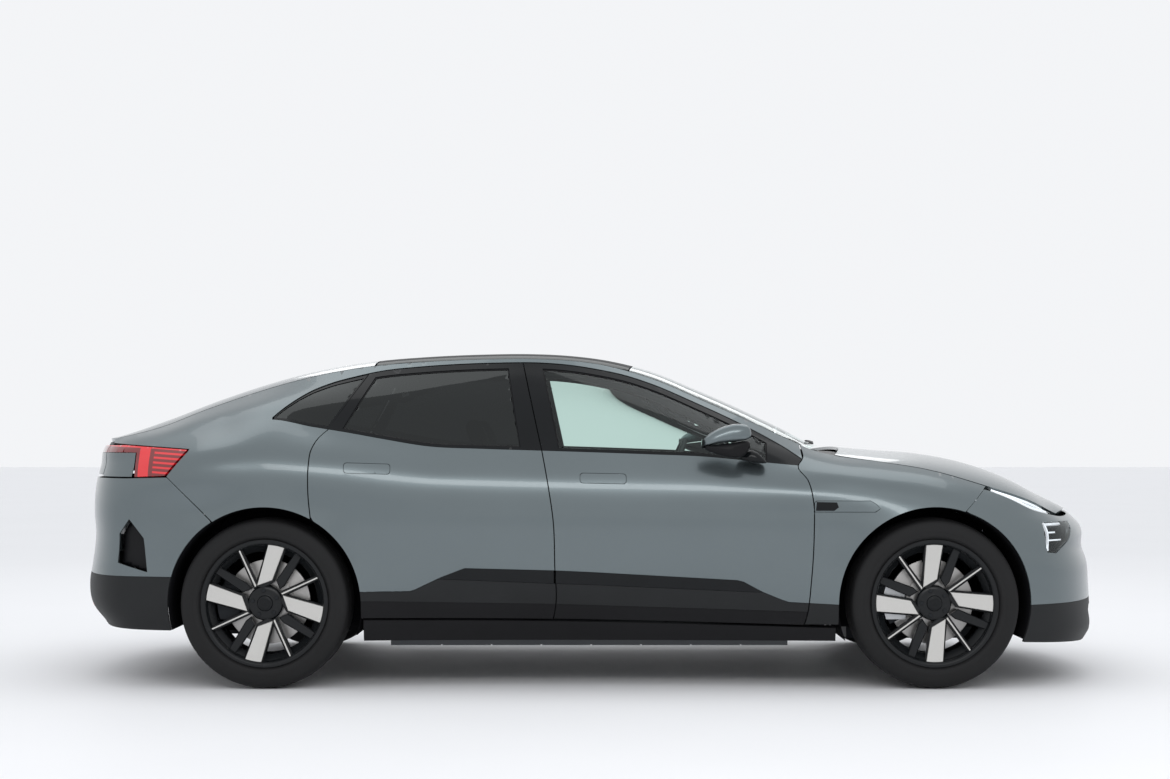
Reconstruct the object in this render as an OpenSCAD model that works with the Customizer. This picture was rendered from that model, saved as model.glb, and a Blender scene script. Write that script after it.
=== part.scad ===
/* [Whole body] */
// Distance between the front and rear axles
wheelbase = 2999; // [2940:1:3060]
// Distance of the rear axle behind the body's middle
rear_axle_back = 1468; // [1440:1:1500]
// Distance between the left and right wheels' middles
track = 1710; // [1690:1:1722]
// Scale of the body's width about its middle line
body_width = 2008; // [1996:1:2040]
// Height of the roof's crown above the road
roof_height = 1534; // [1500:1:1570]
// Width of the gap between neighbouring body panels
shut_gap = 5; // [4:0.5:7]
// Thickness of a pressed outer panel
skin_t = 3.5; // [2.5:0.5:5]
// Thickness of the glazing
glass_t = 5; // [4:0.5:6]

/* [Wheels] */
// Outer diameter of a tyre
tyre_d = 763; // [740:1:775]
// Width of a tyre across its side walls
tyre_w = 255; // [235:1:265]
// Diameter of the rim's bead seats
rim_d = 534; // [508:1:545]
// Radius of the wheel arch about the wheel's middle
arch_r = 432; // [425:1:445]
// Diameter of a brake disc
disc_d = 380; // [320:1:400]
// Thickness of a brake disc
disc_t = 28; // [20:1:32]

/* [Doors] */
// Depth of a door below its window
door_t = 70; // [55:1:85]
// Depth of a door's window frame
frame_t = 28; // [20:1:34]
// Width of the window frame above the glass
frame_w = 30; // [20:1:40]
// Radius of a hinge pin
pin_r = 5; // [4:0.5:6]

/* [Seats] */
// Width of a front seat
seat_w = 520; // [480:5:540]
// Depth of the dashboard's top
dash_depth = 330; // [280:5:360]

/* [Hidden] */
$fn = 48;

// Paint and other colours
paint = [0.36, 0.41, 0.42];
black = [0.05, 0.05, 0.055];
grey = [0.16, 0.17, 0.18];
tint = [0.08, 0.09, 0.1, 0.8];
clear = [0.6, 0.75, 0.7, 0.4];
metal = [0.55, 0.56, 0.58];
red = [0.7, 0.05, 0.06];

// Clearances: between pieces that rest on each other, and between a pin and its eye
seat_gap = 0.3;
pin_gap = 0.06;

// Axle and wheel places
rear_x = -rear_axle_back;
front_x = rear_x + wheelbase;
wheel_z = tyre_d / 2;
wheel_y = track / 2;
half_w = body_width / 2;
wide = half_w / 1004;

// Small helpers
function mix(a, b, t) = a + (b - a) * t;
function last(a) = a[len(a) - 1];
function unit(v) = v / norm(v);
function steps(a, b, n) = [for (i = [0 : n]) mix(a, b, i / n)];

// Smooth curve through knots [x, value], carried on straight past its ends
function span_of(k, x, i = 0) = i >= len(k) - 2 || x < k[i + 1][0] ? i : span_of(k, x, i + 1);
function rise(k, i) = (k[i + 1][1] - k[i][1]) / (k[i + 1][0] - k[i][0]);
function slope(k, i) =
    i <= 0 ? rise(k, 0)
    : i >= len(k) - 1 ? rise(k, len(k) - 2)
    : let (a = k[i][0] - k[i - 1][0], b = k[i + 1][0] - k[i][0])
        (rise(k, i - 1) * b + rise(k, i) * a) / (a + b);
function curve(k, x) =
    x <= k[0][0] ? k[0][1] + slope(k, 0) * (x - k[0][0])
    : x >= last(k)[0] ? last(k)[1] + slope(k, len(k) - 1) * (x - last(k)[0])
    : let (i = span_of(k, x), h = k[i + 1][0] - k[i][0], t = (x - k[i][0]) / h,
        s = t * t * (3 - 2 * t), u = t * (1 - t))
        mix(k[i][1], k[i + 1][1], s) + h * u * (slope(k, i) * (1 - t) - slope(k, i + 1) * t);

// Lines above the bonnet's level, lifted with the roof
roof_start = 1100;
function lifted(k) =
    let (share = (roof_height - 1534) / (1534 - roof_start))
        [for (p = k) [p[0], p[1] + share * max(0, p[1] - roof_start)]];

// Side view lines of the body, as [x, z]
top_line = lifted([[-2322, 1116], [-2208, 1146], [-2008, 1226], [-1809, 1306], [-1609, 1376], [-1409, 1434],
    [-1210, 1476], [-1010, 1503], [-810, 1519], [-510, 1532], [-310, 1534], [-110, 1525], [91, 1499],
    [291, 1449], [490, 1369], [690, 1282], [890, 1187], [1094, 1088], [1200, 1078], [1389, 1062],
    [1589, 1047], [1788, 1011], [1888, 981], [1988, 941], [2087, 891], [2187, 842], [2286, 787],
    [2366, 722]]);
edge_line = lifted([[-2320, 1098], [-2200, 1118], [-2000, 1168], [-1800, 1250], [-1600, 1322], [-1400, 1383],
    [-1200, 1428], [-1000, 1458], [-800, 1474], [-500, 1487], [-300, 1489], [-100, 1480], [50, 1460],
    [150, 1436], [300, 1388], [500, 1300], [700, 1210], [900, 1116], [1000, 1070], [1100, 1043],
    [1300, 1014], [1531, 975], [1790, 900], [2000, 832], [2136, 772], [2300, 700]]);
belt_line = [[-2320, 1080], [-2000, 1100], [-1700, 1160], [-1455, 1206], [-1276, 1174], [-1110, 1147],
    [-960, 1120], [-734, 1084], [-508, 1074], [-215, 1065], [259, 1049], [485, 1040], [782, 1012],
    [936, 998], [1100, 985], [1400, 935], [1531, 912], [1790, 845], [2136, 722], [2300, 640]];
shoulder_line = [[-2320, 1000], [-2000, 1040], [-1732, 1082], [-1468, 1078], [-1263, 1050], [-726, 955],
    [-235, 925], [300, 908], [961, 895], [1237, 868], [1416, 835], [1531, 815], [1790, 760],
    [2136, 650], [2300, 580]];
glass_top = lifted([[-1455, 1214], [-1427, 1242], [-1372, 1288], [-1303, 1334], [-1211, 1374], [-1096, 1406],
    [-981, 1431], [-796, 1451], [-611, 1463], [-427, 1469], [-242, 1469], [-104, 1458], [35, 1436],
    [150, 1411], [273, 1371], [476, 1283], [653, 1200], [800, 1122], [881, 1073], [950, 1024]]);

// Half widths of the body along those lines, as [x, y]
edge_y = [[-2320, 1000], [-2200, 860], [-2000, 716], [-1800, 655], [-1600, 622], [-1400, 608],
    [-1200, 615], [-1000, 630], [-500, 655], [0, 655], [300, 645], [500, 665], [700, 697],
    [900, 737], [1000, 760], [1100, 782], [1400, 824], [1531, 840], [1790, 866], [2136, 880]];
belt_y = [[-2320, 930], [-2000, 872], [-1700, 850], [-1425, 852], [-1110, 882], [-734, 905],
    [-215, 912], [485, 914], [936, 905], [1100, 908], [1400, 928], [1531, 934], [1790, 930],
    [2136, 925]];
shoulder_y = [[-2320, 930], [-2000, 925], [-1732, 942], [-1468, 962], [-1263, 968], [-726, 978],
    [-235, 981], [300, 981], [961, 980], [1416, 984], [1531, 986], [1790, 975], [2136, 950]];
waist_y = [[-2320, 940], [-2000, 960], [-1732, 992], [-1468, 1004], [-1263, 1001], [-726, 997],
    [-100, 996], [600, 994], [961, 993], [1237, 998], [1531, 1003], [1790, 990], [2136, 960]];
door_y = [[-2320, 940], [-2000, 955], [-1732, 985], [-1468, 997], [-1100, 990], [-100, 988],
    [961, 988], [1237, 990], [1531, 996], [1790, 986], [2136, 955]];
crease_y = [[-2320, 930], [-2000, 945], [-1732, 975], [-1468, 988], [-1100, 975], [-900, 965],
    [-100, 962], [800, 964], [1100, 976], [1531, 988], [1790, 980], [2136, 950]];
sill_y = [[-2320, 900], [-1732, 955], [-1468, 960], [-1100, 930], [-800, 906], [600, 906],
    [1100, 935], [1531, 955], [1790, 950], [2136, 930]];

// Tail and nose profiles on the middle line, as [z, x]
tail_line = [[165, -2290], [267, -2330], [340, -2394], [453, -2415], [533, -2402], [682, -2385],
    [777, -2393], [934, -2381], [1000, -2362], [1074, -2352], [1100, -2330]];
nose_line = [[165, 2380], [236, 2420], [325, 2415], [439, 2409], [554, 2397], [598, 2380],
    [718, 2368], [760, 2325], [790, 2284]];

// Plan view rounding of the tail and the nose
tail_start = -1700;
nose_start = 1640;
tail_power = 5;
nose_power = 3.4;
// Angle round the tail at which the tailgate's rear face starts, from the side
tail_a0 = 36;

function flare(x, z) =
    let (d = min(norm([x - front_x, z - wheel_z]), norm([x - rear_x, z - wheel_z])),
        q = max(0, 1 - max(0, d - arch_r) / 120))
        7 * q * q;

// Cross-section of the body at x, as [z, y]
function section(x) =
    let (zs = curve(shoulder_line, x), zb = curve(belt_line, x), ze = curve(edge_line, x),
        ys = curve(belt_y, x), ye = curve(edge_y, x), low = min(780, zs - 110))
        [[205, curve(sill_y, x)], [min(420, low - 220), curve(crease_y, x)],
            [min(620, low - 110), curve(door_y, x)], [low, curve(waist_y, x)],
            [zs, curve(shoulder_y, x)], [zb, ys], [mix(zb, ze, 0.55), mix(ys, ye, 0.42)], [ze, ye]];

function corner(u, n) = u <= 0 ? 1 : u >= 1 ? 0 : sqrt(1 - pow(u, n));
function tail_x(z) = curve(tail_line, min(z, 1100));
function nose_x(z) = curve(nose_line, min(z, 790));
// Half width of the body at x and height z
function side_y(x, z) =
    wide * (curve(section(x), z) + flare(x, z))
    * corner((tail_start - x) / (tail_start - tail_x(z)), tail_power)
    * corner((x - nose_start) / (nose_x(z) - nose_start), nose_power);
function side_point(p) = [p[0], side_y(p[0], p[1]), p[1]];
function side_normal(p) =
    unit([side_y(p[0] - 4, p[1]) - side_y(p[0] + 4, p[1]), 8, side_y(p[0], p[1] - 4) - side_y(p[0], p[1] + 4)]);

// Half width of the roof, bonnet or deck at x, and its height at x and y
function edge_z(x) = curve(edge_line, x);
deck_end = -2200;
bonnet_end = 2136;
function edge_half(x) = let (q = max(deck_end, min(bonnet_end, x))) side_y(q, edge_z(q));
function top_z(x, y) =
    let (r = min(1.1, abs(y) / max(edge_half(x), 1)), drop = curve(top_line, x) - edge_z(x))
        curve(top_line, x) - drop * (0.72 * r * r + 0.28 * pow(r, 8));
function top_point(p) = [p[0], p[1], top_z(p[0], p[1])];
function top_normal(p) =
    unit([top_z(p[0] - 4, p[1]) - top_z(p[0] + 4, p[1]), top_z(p[0], p[1] - 4) - top_z(p[0], p[1] + 4), 8]);

// Points of the rounded tail and nose at height z, from side (0) to middle line (90)
function tail_point(a, z) =
    let (x = mix(tail_start, tail_x(z), pow(sin(a), 2 / tail_power)),
        y0 = wide * (curve(section(x), z) + flare(x, z)))
        [x, y0 * cos(a), z];
function nose_point(a, z) =
    let (x = mix(nose_start, nose_x(z), pow(sin(a), 2 / nose_power)),
        y0 = wide * (curve(section(x), z) + flare(x, z)))
        [x, y0 * cos(a), z];

// Closed solid between an outer and an inner grid of points. keep(i, j) says which cells are there.
module grid_solid(outer, inner, keep = function(i, j) true) {
    n = len(outer);
    m = len(outer[0]);
    ci = floor((n - 1) / 2);
    cj = floor((m - 1) / 2);
    a = outer[ci][cj];
    turn = cross(outer[ci + 1][cj] - a, outer[ci][cj + 1] - a) * (a - inner[ci][cj]) < 0;
    has = function(i, j) i >= 0 && j >= 0 && i < n - 1 && j < m - 1 && keep(i, j);
    id = function(i, j, k) k * n * m + i * m + j;
    quad = function(p, q, r, s) turn ? [[p, q, r], [p, r, s]] : [[p, r, q], [p, s, r]];
    wall = function(i, j, k, l) quad(id(i, j, 0), id(i, j, 1), id(k, l, 1), id(k, l, 0));
    faces = [for (i = [0 : n - 2], j = [0 : m - 2]) if (keep(i, j)) each concat(
        quad(id(i, j, 0), id(i + 1, j, 0), id(i + 1, j + 1, 0), id(i, j + 1, 0)),
        quad(id(i, j, 1), id(i, j + 1, 1), id(i + 1, j + 1, 1), id(i + 1, j, 1)),
        has(i, j - 1) ? [] : wall(i, j, i + 1, j),
        has(i + 1, j) ? [] : wall(i + 1, j, i + 1, j + 1),
        has(i, j + 1) ? [] : wall(i + 1, j + 1, i, j + 1),
        has(i - 1, j) ? [] : wall(i, j + 1, i, j))];
    polyhedron([each [for (c = outer) each c], each [for (c = inner) each c]], faces, convexity = 8);
}

// Side panel: a grid of [x, z] points laid on the body side, with a depth along y at each point
module side_panel(cells, depth, keep = function(i, j) true) {
    outer = [for (c = cells) [for (p = c) side_point(p)]];
    inner = [for (i = [0 : len(cells) - 1]) [for (j = [0 : len(cells[0]) - 1])
        outer[i][j] - [0, depth(i, j), 0]]];
    grid_solid(outer, inner, keep);
}

// Thin panel pressed along the body side, of even thickness
module side_skin(cells, t, keep = function(i, j) true) {
    outer = [for (c = cells) [for (p = c) side_point(p)]];
    inner = [for (i = [0 : len(cells) - 1]) [for (j = [0 : len(cells[0]) - 1])
        outer[i][j] - t * side_normal(cells[i][j])]];
    grid_solid(outer, inner, keep);
}

module both_sides() {
    children();
    mirror([0, 1, 0]) children();
}

module side_of(s) {
    if (s > 0) children();
    else mirror([0, 1, 0]) children();
}

// Shut lines in side view: x at height z
front_shut = [[280, 947], [328, 961], [381, 968], [473, 976], [600, 985], [703, 988], [842, 985],
    [934, 964], [998, 927], [1024, 948.5], [1092, 951.5]];
middle_shut = [[300, -178], [386, -164], [534, -169], [756, -177], [900, -198], [1068, -230],
    [1250, -268], [1432, -312], [1480, -324]];
rear_shut = [[763, -1258], [850, -1268], [920, -1271], [1000, -1270], [1072, -1262], [1120, -1238],
    [1170, -1187]];
door_low = [[-1035, 312], [-170, 306], [960, 280]];
function lines_x(k, z) = curve(k, z);
function arch_point(x, a, r = arch_r) = [x + r * cos(a), wheel_z + r * sin(a)];

half_gap = shut_gap / 2;

// Front door: columns from its rear to its front edge, rows from its lower edge to the roof rail
fd_rear_low = curve(door_low, -170) + half_gap;
fd_front_low = curve(door_low, 960) + half_gap;
fd_front_top = curve(belt_line, 927);
fd_rear_top = curve(belt_line, -228);
function spread_rows(low, high) = [low, low + 8, low + 34, low + 42, mix(low, high, 0.3),
    mix(low, high, 0.45), mix(low, high, 0.6), mix(low, high, 0.72), mix(low, high, 0.84),
    mix(low, high, 0.91), high - 25, high];
fd_cols = [0, 0.006, 0.028, 0.035, 0.11, 0.2, 0.32, 0.45, 0.58, 0.7, 0.8, 0.88, 0.94, 0.942, 0.992, 1];
fd_rows_n = 12;
function fd_low(s, r) =
    let (zr = spread_rows(fd_rear_low, fd_rear_top)[r], zf = spread_rows(fd_front_low, fd_front_top)[r],
        xr = lines_x(middle_shut, zr) + half_gap, xf = lines_x(front_shut, zf) - half_gap,
        x = mix(xr, xf, s), t = r / (fd_rows_n - 1))
        [x, mix(zr, zf, s) + (r == fd_rows_n - 1 ? curve(belt_line, x) - mix(zr, zf, s) : 0)];
fd_top_rear = lines_x(middle_shut, 1469) + half_gap;
function fd_high(s) = let (x = mix(fd_top_rear, 946, s)) [x, curve(glass_top, x) - 2];
frame_rows = [0, 0.045, 0.5, 1];
function fd_cell(s) =
    let (b = fd_low(s, fd_rows_n - 1), t = fd_high(s), h = max(t[1] - b[1], 1), f = min(0.4, frame_w / h))
        [for (r = [0 : fd_rows_n - 1]) fd_low(s, r), mix(b, t, min(0.3, 12 / h)), mix(b, t, (1 - f) * 0.55),
            mix(b, t, 1 - f), t];
front_door_cells = [for (s = fd_cols) fd_cell(s)];
function fd_depth(i, j) =
    let (n = len(fd_cols) - 1)
        j >= fd_rows_n - 1 ? frame_t : i < 3 || i > n - 3 || j < 3 ? skin_t : door_t;
fd_window = [4, 11];
function fd_keep(i, j) = !(i >= fd_window[0] && i < fd_window[1] && j >= fd_rows_n && j < fd_rows_n + 2);

// Glass pane that fills part of a grid of cells, a seat gap clear all round
module pane(cells, i0, i1, j0, j1, back = 8) {
    g = seat_gap + 0.2;
    part = [for (i = [i0 : i1]) [for (j = [j0 : j1])
        let (dx = i == i0 ? g : i == i1 ? -g : 0, dz = j == j0 ? g : j == j1 ? -g : 0)
            cells[i][j] + [dx, dz]]];
    outer = [for (c = part) [for (p = c) side_point(p) - [0, back, 0]]];
    inner = [for (c = outer) [for (p = c) p - [0, glass_t, 0]]];
    grid_solid(outer, inner);
}

// Rear door: its rear edge follows the wheel arch and then the shut line
function rd_rear_x(z) =
    z < wheel_z ? rear_x + arch_r
    : z < 763 ? rear_x + sqrt(max(0, arch_r * arch_r - (z - wheel_z) * (z - wheel_z)))
    : lines_x(rear_shut, z) + half_gap;
rd_low = curve(door_low, -600) + half_gap;
rd_rear_top = curve(belt_line, -1187);
rd_cols = [0, 0.01, 0.045, 0.06, 0.12, 0.22, 0.36, 0.5, 0.64, 0.78, 0.87, 0.918, 0.92, 0.992, 1];
function rd_lower(s, r) =
    let (zr = spread_rows(rd_low, rd_rear_top)[r], zf = spread_rows(rd_low, fd_rear_top)[r],
        xr = rd_rear_x(zr), xf = lines_x(middle_shut, zf) - half_gap, x = mix(xr, xf, s))
        [x, r == fd_rows_n - 1 ? curve(belt_line, x) : mix(zr, zf, s)];
rd_top_front = lines_x(middle_shut, 1469) - half_gap;
function rd_high(s) = let (x = mix(-1035, rd_top_front, s)) [x, curve(glass_top, x) - 2];
function rd_cell(s) =
    let (b = rd_lower(s, fd_rows_n - 1), t = rd_high(s), h = t[1] - b[1], f = frame_w / h)
        [for (r = [0 : fd_rows_n - 1]) rd_lower(s, r), mix(b, t, 12 / h), mix(b, t, 0.5),
            mix(b, t, 1 - f), t];
rear_door_cells = [for (s = rd_cols) rd_cell(s)];
function rd_depth(i, j) =
    let (n = len(rd_cols) - 1)
        j >= fd_rows_n - 1 ? frame_t : i < 3 || i > n - 3 || j < 3 ? skin_t : door_t;
rd_window = [3, 10];
function rd_keep(i, j) = !(i >= rd_window[0] && i < rd_window[1] && j >= fd_rows_n && j < fd_rows_n + 2);

// Door hinges: pins just inside the outer skin, near each door's front edge
hinge_z = [650, 840];
hinge_eye_r = 8;
hinge_inset = 18.5;
ear_t = 10;
sleeve_h = 50;
front_pin = [985 - half_gap - 34, side_y(975, 760) - hinge_inset - skin_t];
rear_pin = [-198 - half_gap - 8, side_y(-200, 760) - hinge_inset - skin_t];
pillar_out = 885;
post_out = 838;

module door_sleeves(pin, box_x) {
    for (z = hinge_z) difference() {
        union() {
            translate([pin[0], pin[1], z - sleeve_h / 2]) cylinder(r = hinge_eye_r, h = sleeve_h);
            translate([box_x + seat_gap, pin[1] - 7, z - sleeve_h / 2 + 5])
                cube([pin[0] - box_x - 4, 10, sleeve_h - 10]);
        }
        translate([pin[0], pin[1], z - sleeve_h]) cylinder(r = pin_r + pin_gap, h = 2 * sleeve_h);
    }
}

module hinge_fork(pin, foot, foot_y) {
    for (z = hinge_z) {
        for (s = [-1, 1]) translate([0, 0, z + s * (sleeve_h / 2 + ear_t / 2 + 0.5)]) {
            translate([pin[0], pin[1], -ear_t / 2]) cylinder(r = hinge_eye_r, h = ear_t);
            translate([0, 0, -ear_t / 2]) linear_extrude(ear_t) polygon([
                [pin[0] - 7, pin[1]], [pin[0] + 7, pin[1]], [pin[0] + 9, pin[1] - 52],
                [foot + 14, foot_y + 14], [foot + 14, foot_y + seat_gap], [foot - 14, foot_y + seat_gap],
                [pin[0] - 7, pin[1] - 62]]);
        }
        translate([pin[0], pin[1], z - sleeve_h / 2 - ear_t]) cylinder(r = pin_r, h = sleeve_h + 2 * ear_t);
    }
}

module door_front(s) side_of(s) color(paint) {
    side_panel(front_door_cells, function(i, j) fd_depth(i, j), function(i, j) fd_keep(i, j));
    door_sleeves(front_pin, fd_box_x());
}
function fd_box_x() = let (c = front_door_cells[len(fd_cols) - 3]) c[5][0];
function rd_box_x() = let (c = rear_door_cells[len(rd_cols) - 3]) c[6][0];

module door_rear(s) side_of(s) color(paint) {
    side_panel(rear_door_cells, function(i, j) rd_depth(i, j), function(i, j) rd_keep(i, j));
    door_sleeves(rear_pin, rd_box_x());
}

module window_front(s) side_of(s) color(clear)
    pane(front_door_cells, fd_window[0], fd_window[1], fd_rows_n, fd_rows_n + 2);

module window_rear(s) side_of(s) color(tint)
    pane(rear_door_cells, rd_window[0], rd_window[1], fd_rows_n, fd_rows_n + 2);

module door_hinges() color(metal) both_sides() {
    hinge_fork(front_pin, 1010, pillar_out);
    hinge_fork(rear_pin, -178, post_out);
    translate([tailgate_axis[0], tailgate_hinge_y, tailgate_axis[1]]) {
        top = header_pad_z - tailgate_axis[1] - seat_gap;
        rotate([90, 0, 0]) cylinder(r = 6, h = 38, center = true);
        for (q = [-1, 1]) translate([0, q * 14, 0]) rotate([90, 0, 0]) linear_extrude(10, center = true)
            polygon([[-14, 10], [-10, -14], [14, -12], [78, top], [24, top], [4, 14]]);
    }
}

// Front wing: columns run from the wheel arch out to the shut lines and the bonnet's edge
function wing_outer(a) =
    a > 180 ? [0, 0]
    : a >= 128 ? let (z = mix(wheel_z, 1092, (180 - a) / 52)) [lines_x(front_shut, z) + half_gap, z]
    : let (x = mix(954, 1779, (128 - a) / 56)) [x, edge_z(x)];
wing_angles = [180, 170, 160, 150, 147, 143.5, 140, 137.5, 134.9, 133, 128, 122, 115, 108, 100, 93, 86, 80, 76, 72];
wing_foot = [for (z = [286, 330]) [[front_x - arch_r, z], [lines_x(front_shut, z) + half_gap, z]]];
wing_fan = [for (a = wing_angles) [arch_point(front_x, a), wing_outer(a)]];
wing_rows = [0, 8, 9];
function wing_col(c) =
    let (len_c = norm(c[1] - c[0]))
        [for (d = wing_rows) mix(c[0], c[1], d / len_c),
            for (t = [0.2, 0.4, 0.6, 0.8, 0.93, 1]) mix(c[0], c[1], t)];
wing_cells = [for (c = concat(wing_foot, wing_fan)) wing_col(c)];

module front_wing(s) side_of(s) color(paint) side_skin_lip(wing_cells, 30);

// Pressed skin whose first two rows are turned in along y as an arch lip
module side_skin_lip(cells, lip_t) {
    outer = [for (c = cells) [for (p = c) side_point(p)]];
    inner = [for (i = [0 : len(cells) - 1]) [for (j = [0 : len(cells[0]) - 1])
        j < 2 ? outer[i][j] - [0, lip_t, 0] : outer[i][j] - skin_t * side_normal(cells[i][j])]];
    grid_solid(outer, inner);
}

// Solid lofted through flat sections, each a closed ring of points
module loft(rings) {
    n = len(rings);
    m = len(rings[0]);
    a = rings[0][1] - rings[0][0];
    turn = ring_area(rings[0]) * (rings[1][0][0] - rings[0][0][0]) > 0;
    sides = [for (i = [0 : n - 2], j = [0 : m - 1])
        let (p = i * m + j, q = i * m + (j + 1) % m)
            each turn ? [[p, p + m, q + m], [p, q + m, q]] : [[p, q + m, p + m], [p, q, q + m]]];
    cap = [for (j = [0 : m - 1]) j];
    far = [for (j = [m - 1 : -1 : 0]) (n - 1) * m + j];
    back = function(f) [for (k = [len(f) - 1 : -1 : 0]) f[k]];
    polyhedron([for (r = rings) each r], concat(sides, [turn ? cap : back(cap), turn ? far : back(far)]),
        convexity = 6);
}
// Signed area of a ring in its y and z
function ring_area(r) = let (m = len(r))
    sum_of([for (i = [0 : m - 1]) r[i][1] * r[(i + 1) % m][2] - r[(i + 1) % m][1] * r[i][2]]);
function sum_of(v, i = 0) = i >= len(v) ? 0 : v[i] + sum_of(v, i + 1);

// Roof rail and windscreen pillar, as sections between the windows and the roof's edge
seat_drop = glass_t + 0.6;
function rail_ring(x) =
    let (z0 = curve(glass_top, x) + shut_gap - 2, ze = edge_z(x), p0 = side_point([x, z0]),
        pm = side_point([x, mix(z0, ze, 0.5)]), pe = side_point([x, ze]), d = frame_t + 8,
        drop = x < roof_end ? glass_t + 7 : x > 180 ? glass_t + 3 : seat_drop)
        [p0, pm, pe, pe - [0, skin_t, drop], [x, pe[1] - 62, ze - drop - 1],
            [x, p0[1] - d - 30, z0 - 34], [x, p0[1] - d, z0 - 34], [x, p0[1] - d, z0]];
rail_x = [948, 900, 820, 720, 600, 476, 350, 200, 50, -100, -300, -500, -700, -900, -1006, -1011, -1100, -1200, -1300,
    -1400, -1457];

// Quarter panel columns: from the wheel arch to the window line, and behind the window to the roof edge
q_mid = 85;
q_first = 61.2;
q_last = 121.8;
function quarter_bow(z, s) = s >= 1 ? 0 : (lines_x(rear_shut, z) - mix(-1258, -1187, (z - 763) / 400)) * (1 - s);
quarter_rows = [0, 0.25, 0.5, 0.75, 0.85, 0.925, 1];
quarter_a = [for (s = [0, 0.25, 0.5, 0.75, 1])
    let (a = arch_point(rear_x, mix(q_first, q_mid, s)), xb = mix(-1187, -1455, s),
        b = [xb, curve(belt_line, xb) - 1])
        [for (t = quarter_rows)
            let (p = mix(a, b, t)) [p[0] + (t == 0 ? -half_gap * (1 - s) : quarter_bow(p[1], s) - half_gap * (1 - s)), p[1]]]];
quarter_b = [for (s = steps(0, 1, 6))
    let (a = arch_point(rear_x, mix(q_mid, q_last, s)),
        m = mix([-1455, curve(belt_line, -1455) - 1], [-1905, 949], s),
        n = mix([-1455, 1260], [-1815, 1058], s),
        xe = mix(-1455, -1815, s), e = [xe, edge_z(xe)])
        [for (t = quarter_rows) mix(a, m, t), mix(m, n, 0.5), n, mix(n, e, 0.5), mix(n, e, 0.8), e]];
function lamp_top(x) = mix(1070, 1091, (-1810 - x) / 306);
deck_side = [for (x = [-1813, -1900, -1990, -2070, -2140, -2200])
    [for (t = [0, 0.35, 0.7, 1]) [x, mix(lamp_top(x) + half_gap, edge_z(x), t)]]];
// Corner of the tail below the light bar, between the lamp and the tailgate
function corner_x(z) = tail_point(tail_a0, z)[0] + shut_gap + 2;
tail_corner = [for (s = [0, 0.5, 1]) [for (z = [947, 985, 1020, 1056 - seat_gap]) [mix(-2066, corner_x(z), s), z]]];

module block(lo, hi) translate(lo) cube(hi - lo);

// Header under the roof glass from the middle line out to one rail
header_drop = 3.6;
module header(x, w, t) rotate([0, 0, 90])
    loft([for (s = [0 : 3])
        let (y = s * (edge_half(x) - 30) / 3)
            [for (c = [[-1, 0], [1, 0], [1, 1], [-1, 1]])
                let (q = x + c[0] * w / 2)
                    [y, -q, top_z(q, y) - seat_drop - header_drop - c[1] * t]]]);

module body_side(s) side_of(s) color(paint) {
    loft([for (x = rail_x) rail_ring(x)]);
    side_panel(quarter_a, function(i, j) 40);
    side_panel(quarter_b, function(i, j) j > len(quarter_rows) + 2 ? skin_t : 40);
    side_panel(deck_side, function(i, j) [30, 20, 8, skin_t][j]);
    side_panel(tail_corner, function(i, j) [30, 20, 4][i]);
    // Sill, hinge pillar, door pillar and rear pillar
    hull() { block([-1010, 790, 215], [1050, 852, 300]); block([-1010, 790, 215], [1050, 838, 390]); }
    hull() { block([992, 800, 300], [1052, pillar_out - 20, 301]); block([992, 800, 640], [1052, pillar_out, 641]); }
    hull() { block([992, 800, 640], [1052, pillar_out, 860]); block([985, 800, 960], [1035, 850, 980]); }
    hull() { block([975, 800, 960], [1035, 850, 980]); block([925, 795, 1030], [965, 835, 1034]); }
    hull() { block([-240, 800, 380], [-130, post_out, 381]); block([-235, 800, 880], [-150, post_out, 881]); }
    hull() { block([-235, 800, 880], [-150, post_out, 881]); block([-275, 790, 1060], [-205, 815, 1061]); }
    hull() { block([-275, 790, 1060], [-205, 815, 1061]); block([-340, 620, 1450], [-280, 640, 1466]); }
    hull() { block([-1015, 790, 300], [-985, 850, 380]); block([-1040, 790, 600], [-1000, 850, 602]); }
    hull() { block([-1040, 790, 600], [-1000, 850, 602]); block([-1120, 790, 740], [-1080, 860, 742]); }
    hull() { block([-1120, 790, 740], [-1080, 860, 742]); block([-1260, 780, 830], [-1200, 860, 832]); }
    hull() { block([-1290, 780, 830], [-1210, 880, 832]); block([-1330, 760, 1120], [-1230, 820, 1150]); }
    hull() { block([-1500, 700, 1150], [-1240, 830, 1160]); block([-1300, 800, 900], [-1240, 900, 960]); }
    hull() { block([-1530, 540, 1280], [-1440, 565, 1300]); block([-1500, 700, 1150], [-1400, 790, 1160]); }
    header(205, 60, 22);
    // Seats of the wheel arch liners
    block([1040, 800, wheel_z - 12], [front_x - arch_r - liner_gap - 4 - seat_gap, 840, wheel_z + 12]);
    block([rear_x + arch_r + liner_gap + 4 + seat_gap, 800, wheel_z - 12], [-1000, 840, wheel_z + 12]);
    header(header_rear_x, 60, 22);
    block([header_rear_x - 30, 300, header_pad_z], [header_rear_x + 30, 360, header_pad_z + 20]);
}

// Roof, windscreen, bonnet and deck: a grid over the top surface from side to side
module top_panel(rows, widths, t, n, share = 1, sink = 0) {
    outer = [for (k = [-n : n]) [for (r = [0 : len(rows) - 1])
        let (c = k / n * share, x = rows[r](abs(c)), y = c * widths[r])
            top_point([x, y]) - sink * top_normal([x, y])]];
    inner = [for (k = [0 : 2 * n]) [for (r = [0 : len(rows) - 1])
        outer[k][r] - t * top_normal([outer[k][r][0], outer[k][r][1]])]];
    grid_solid(outer, inner);
}

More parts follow.
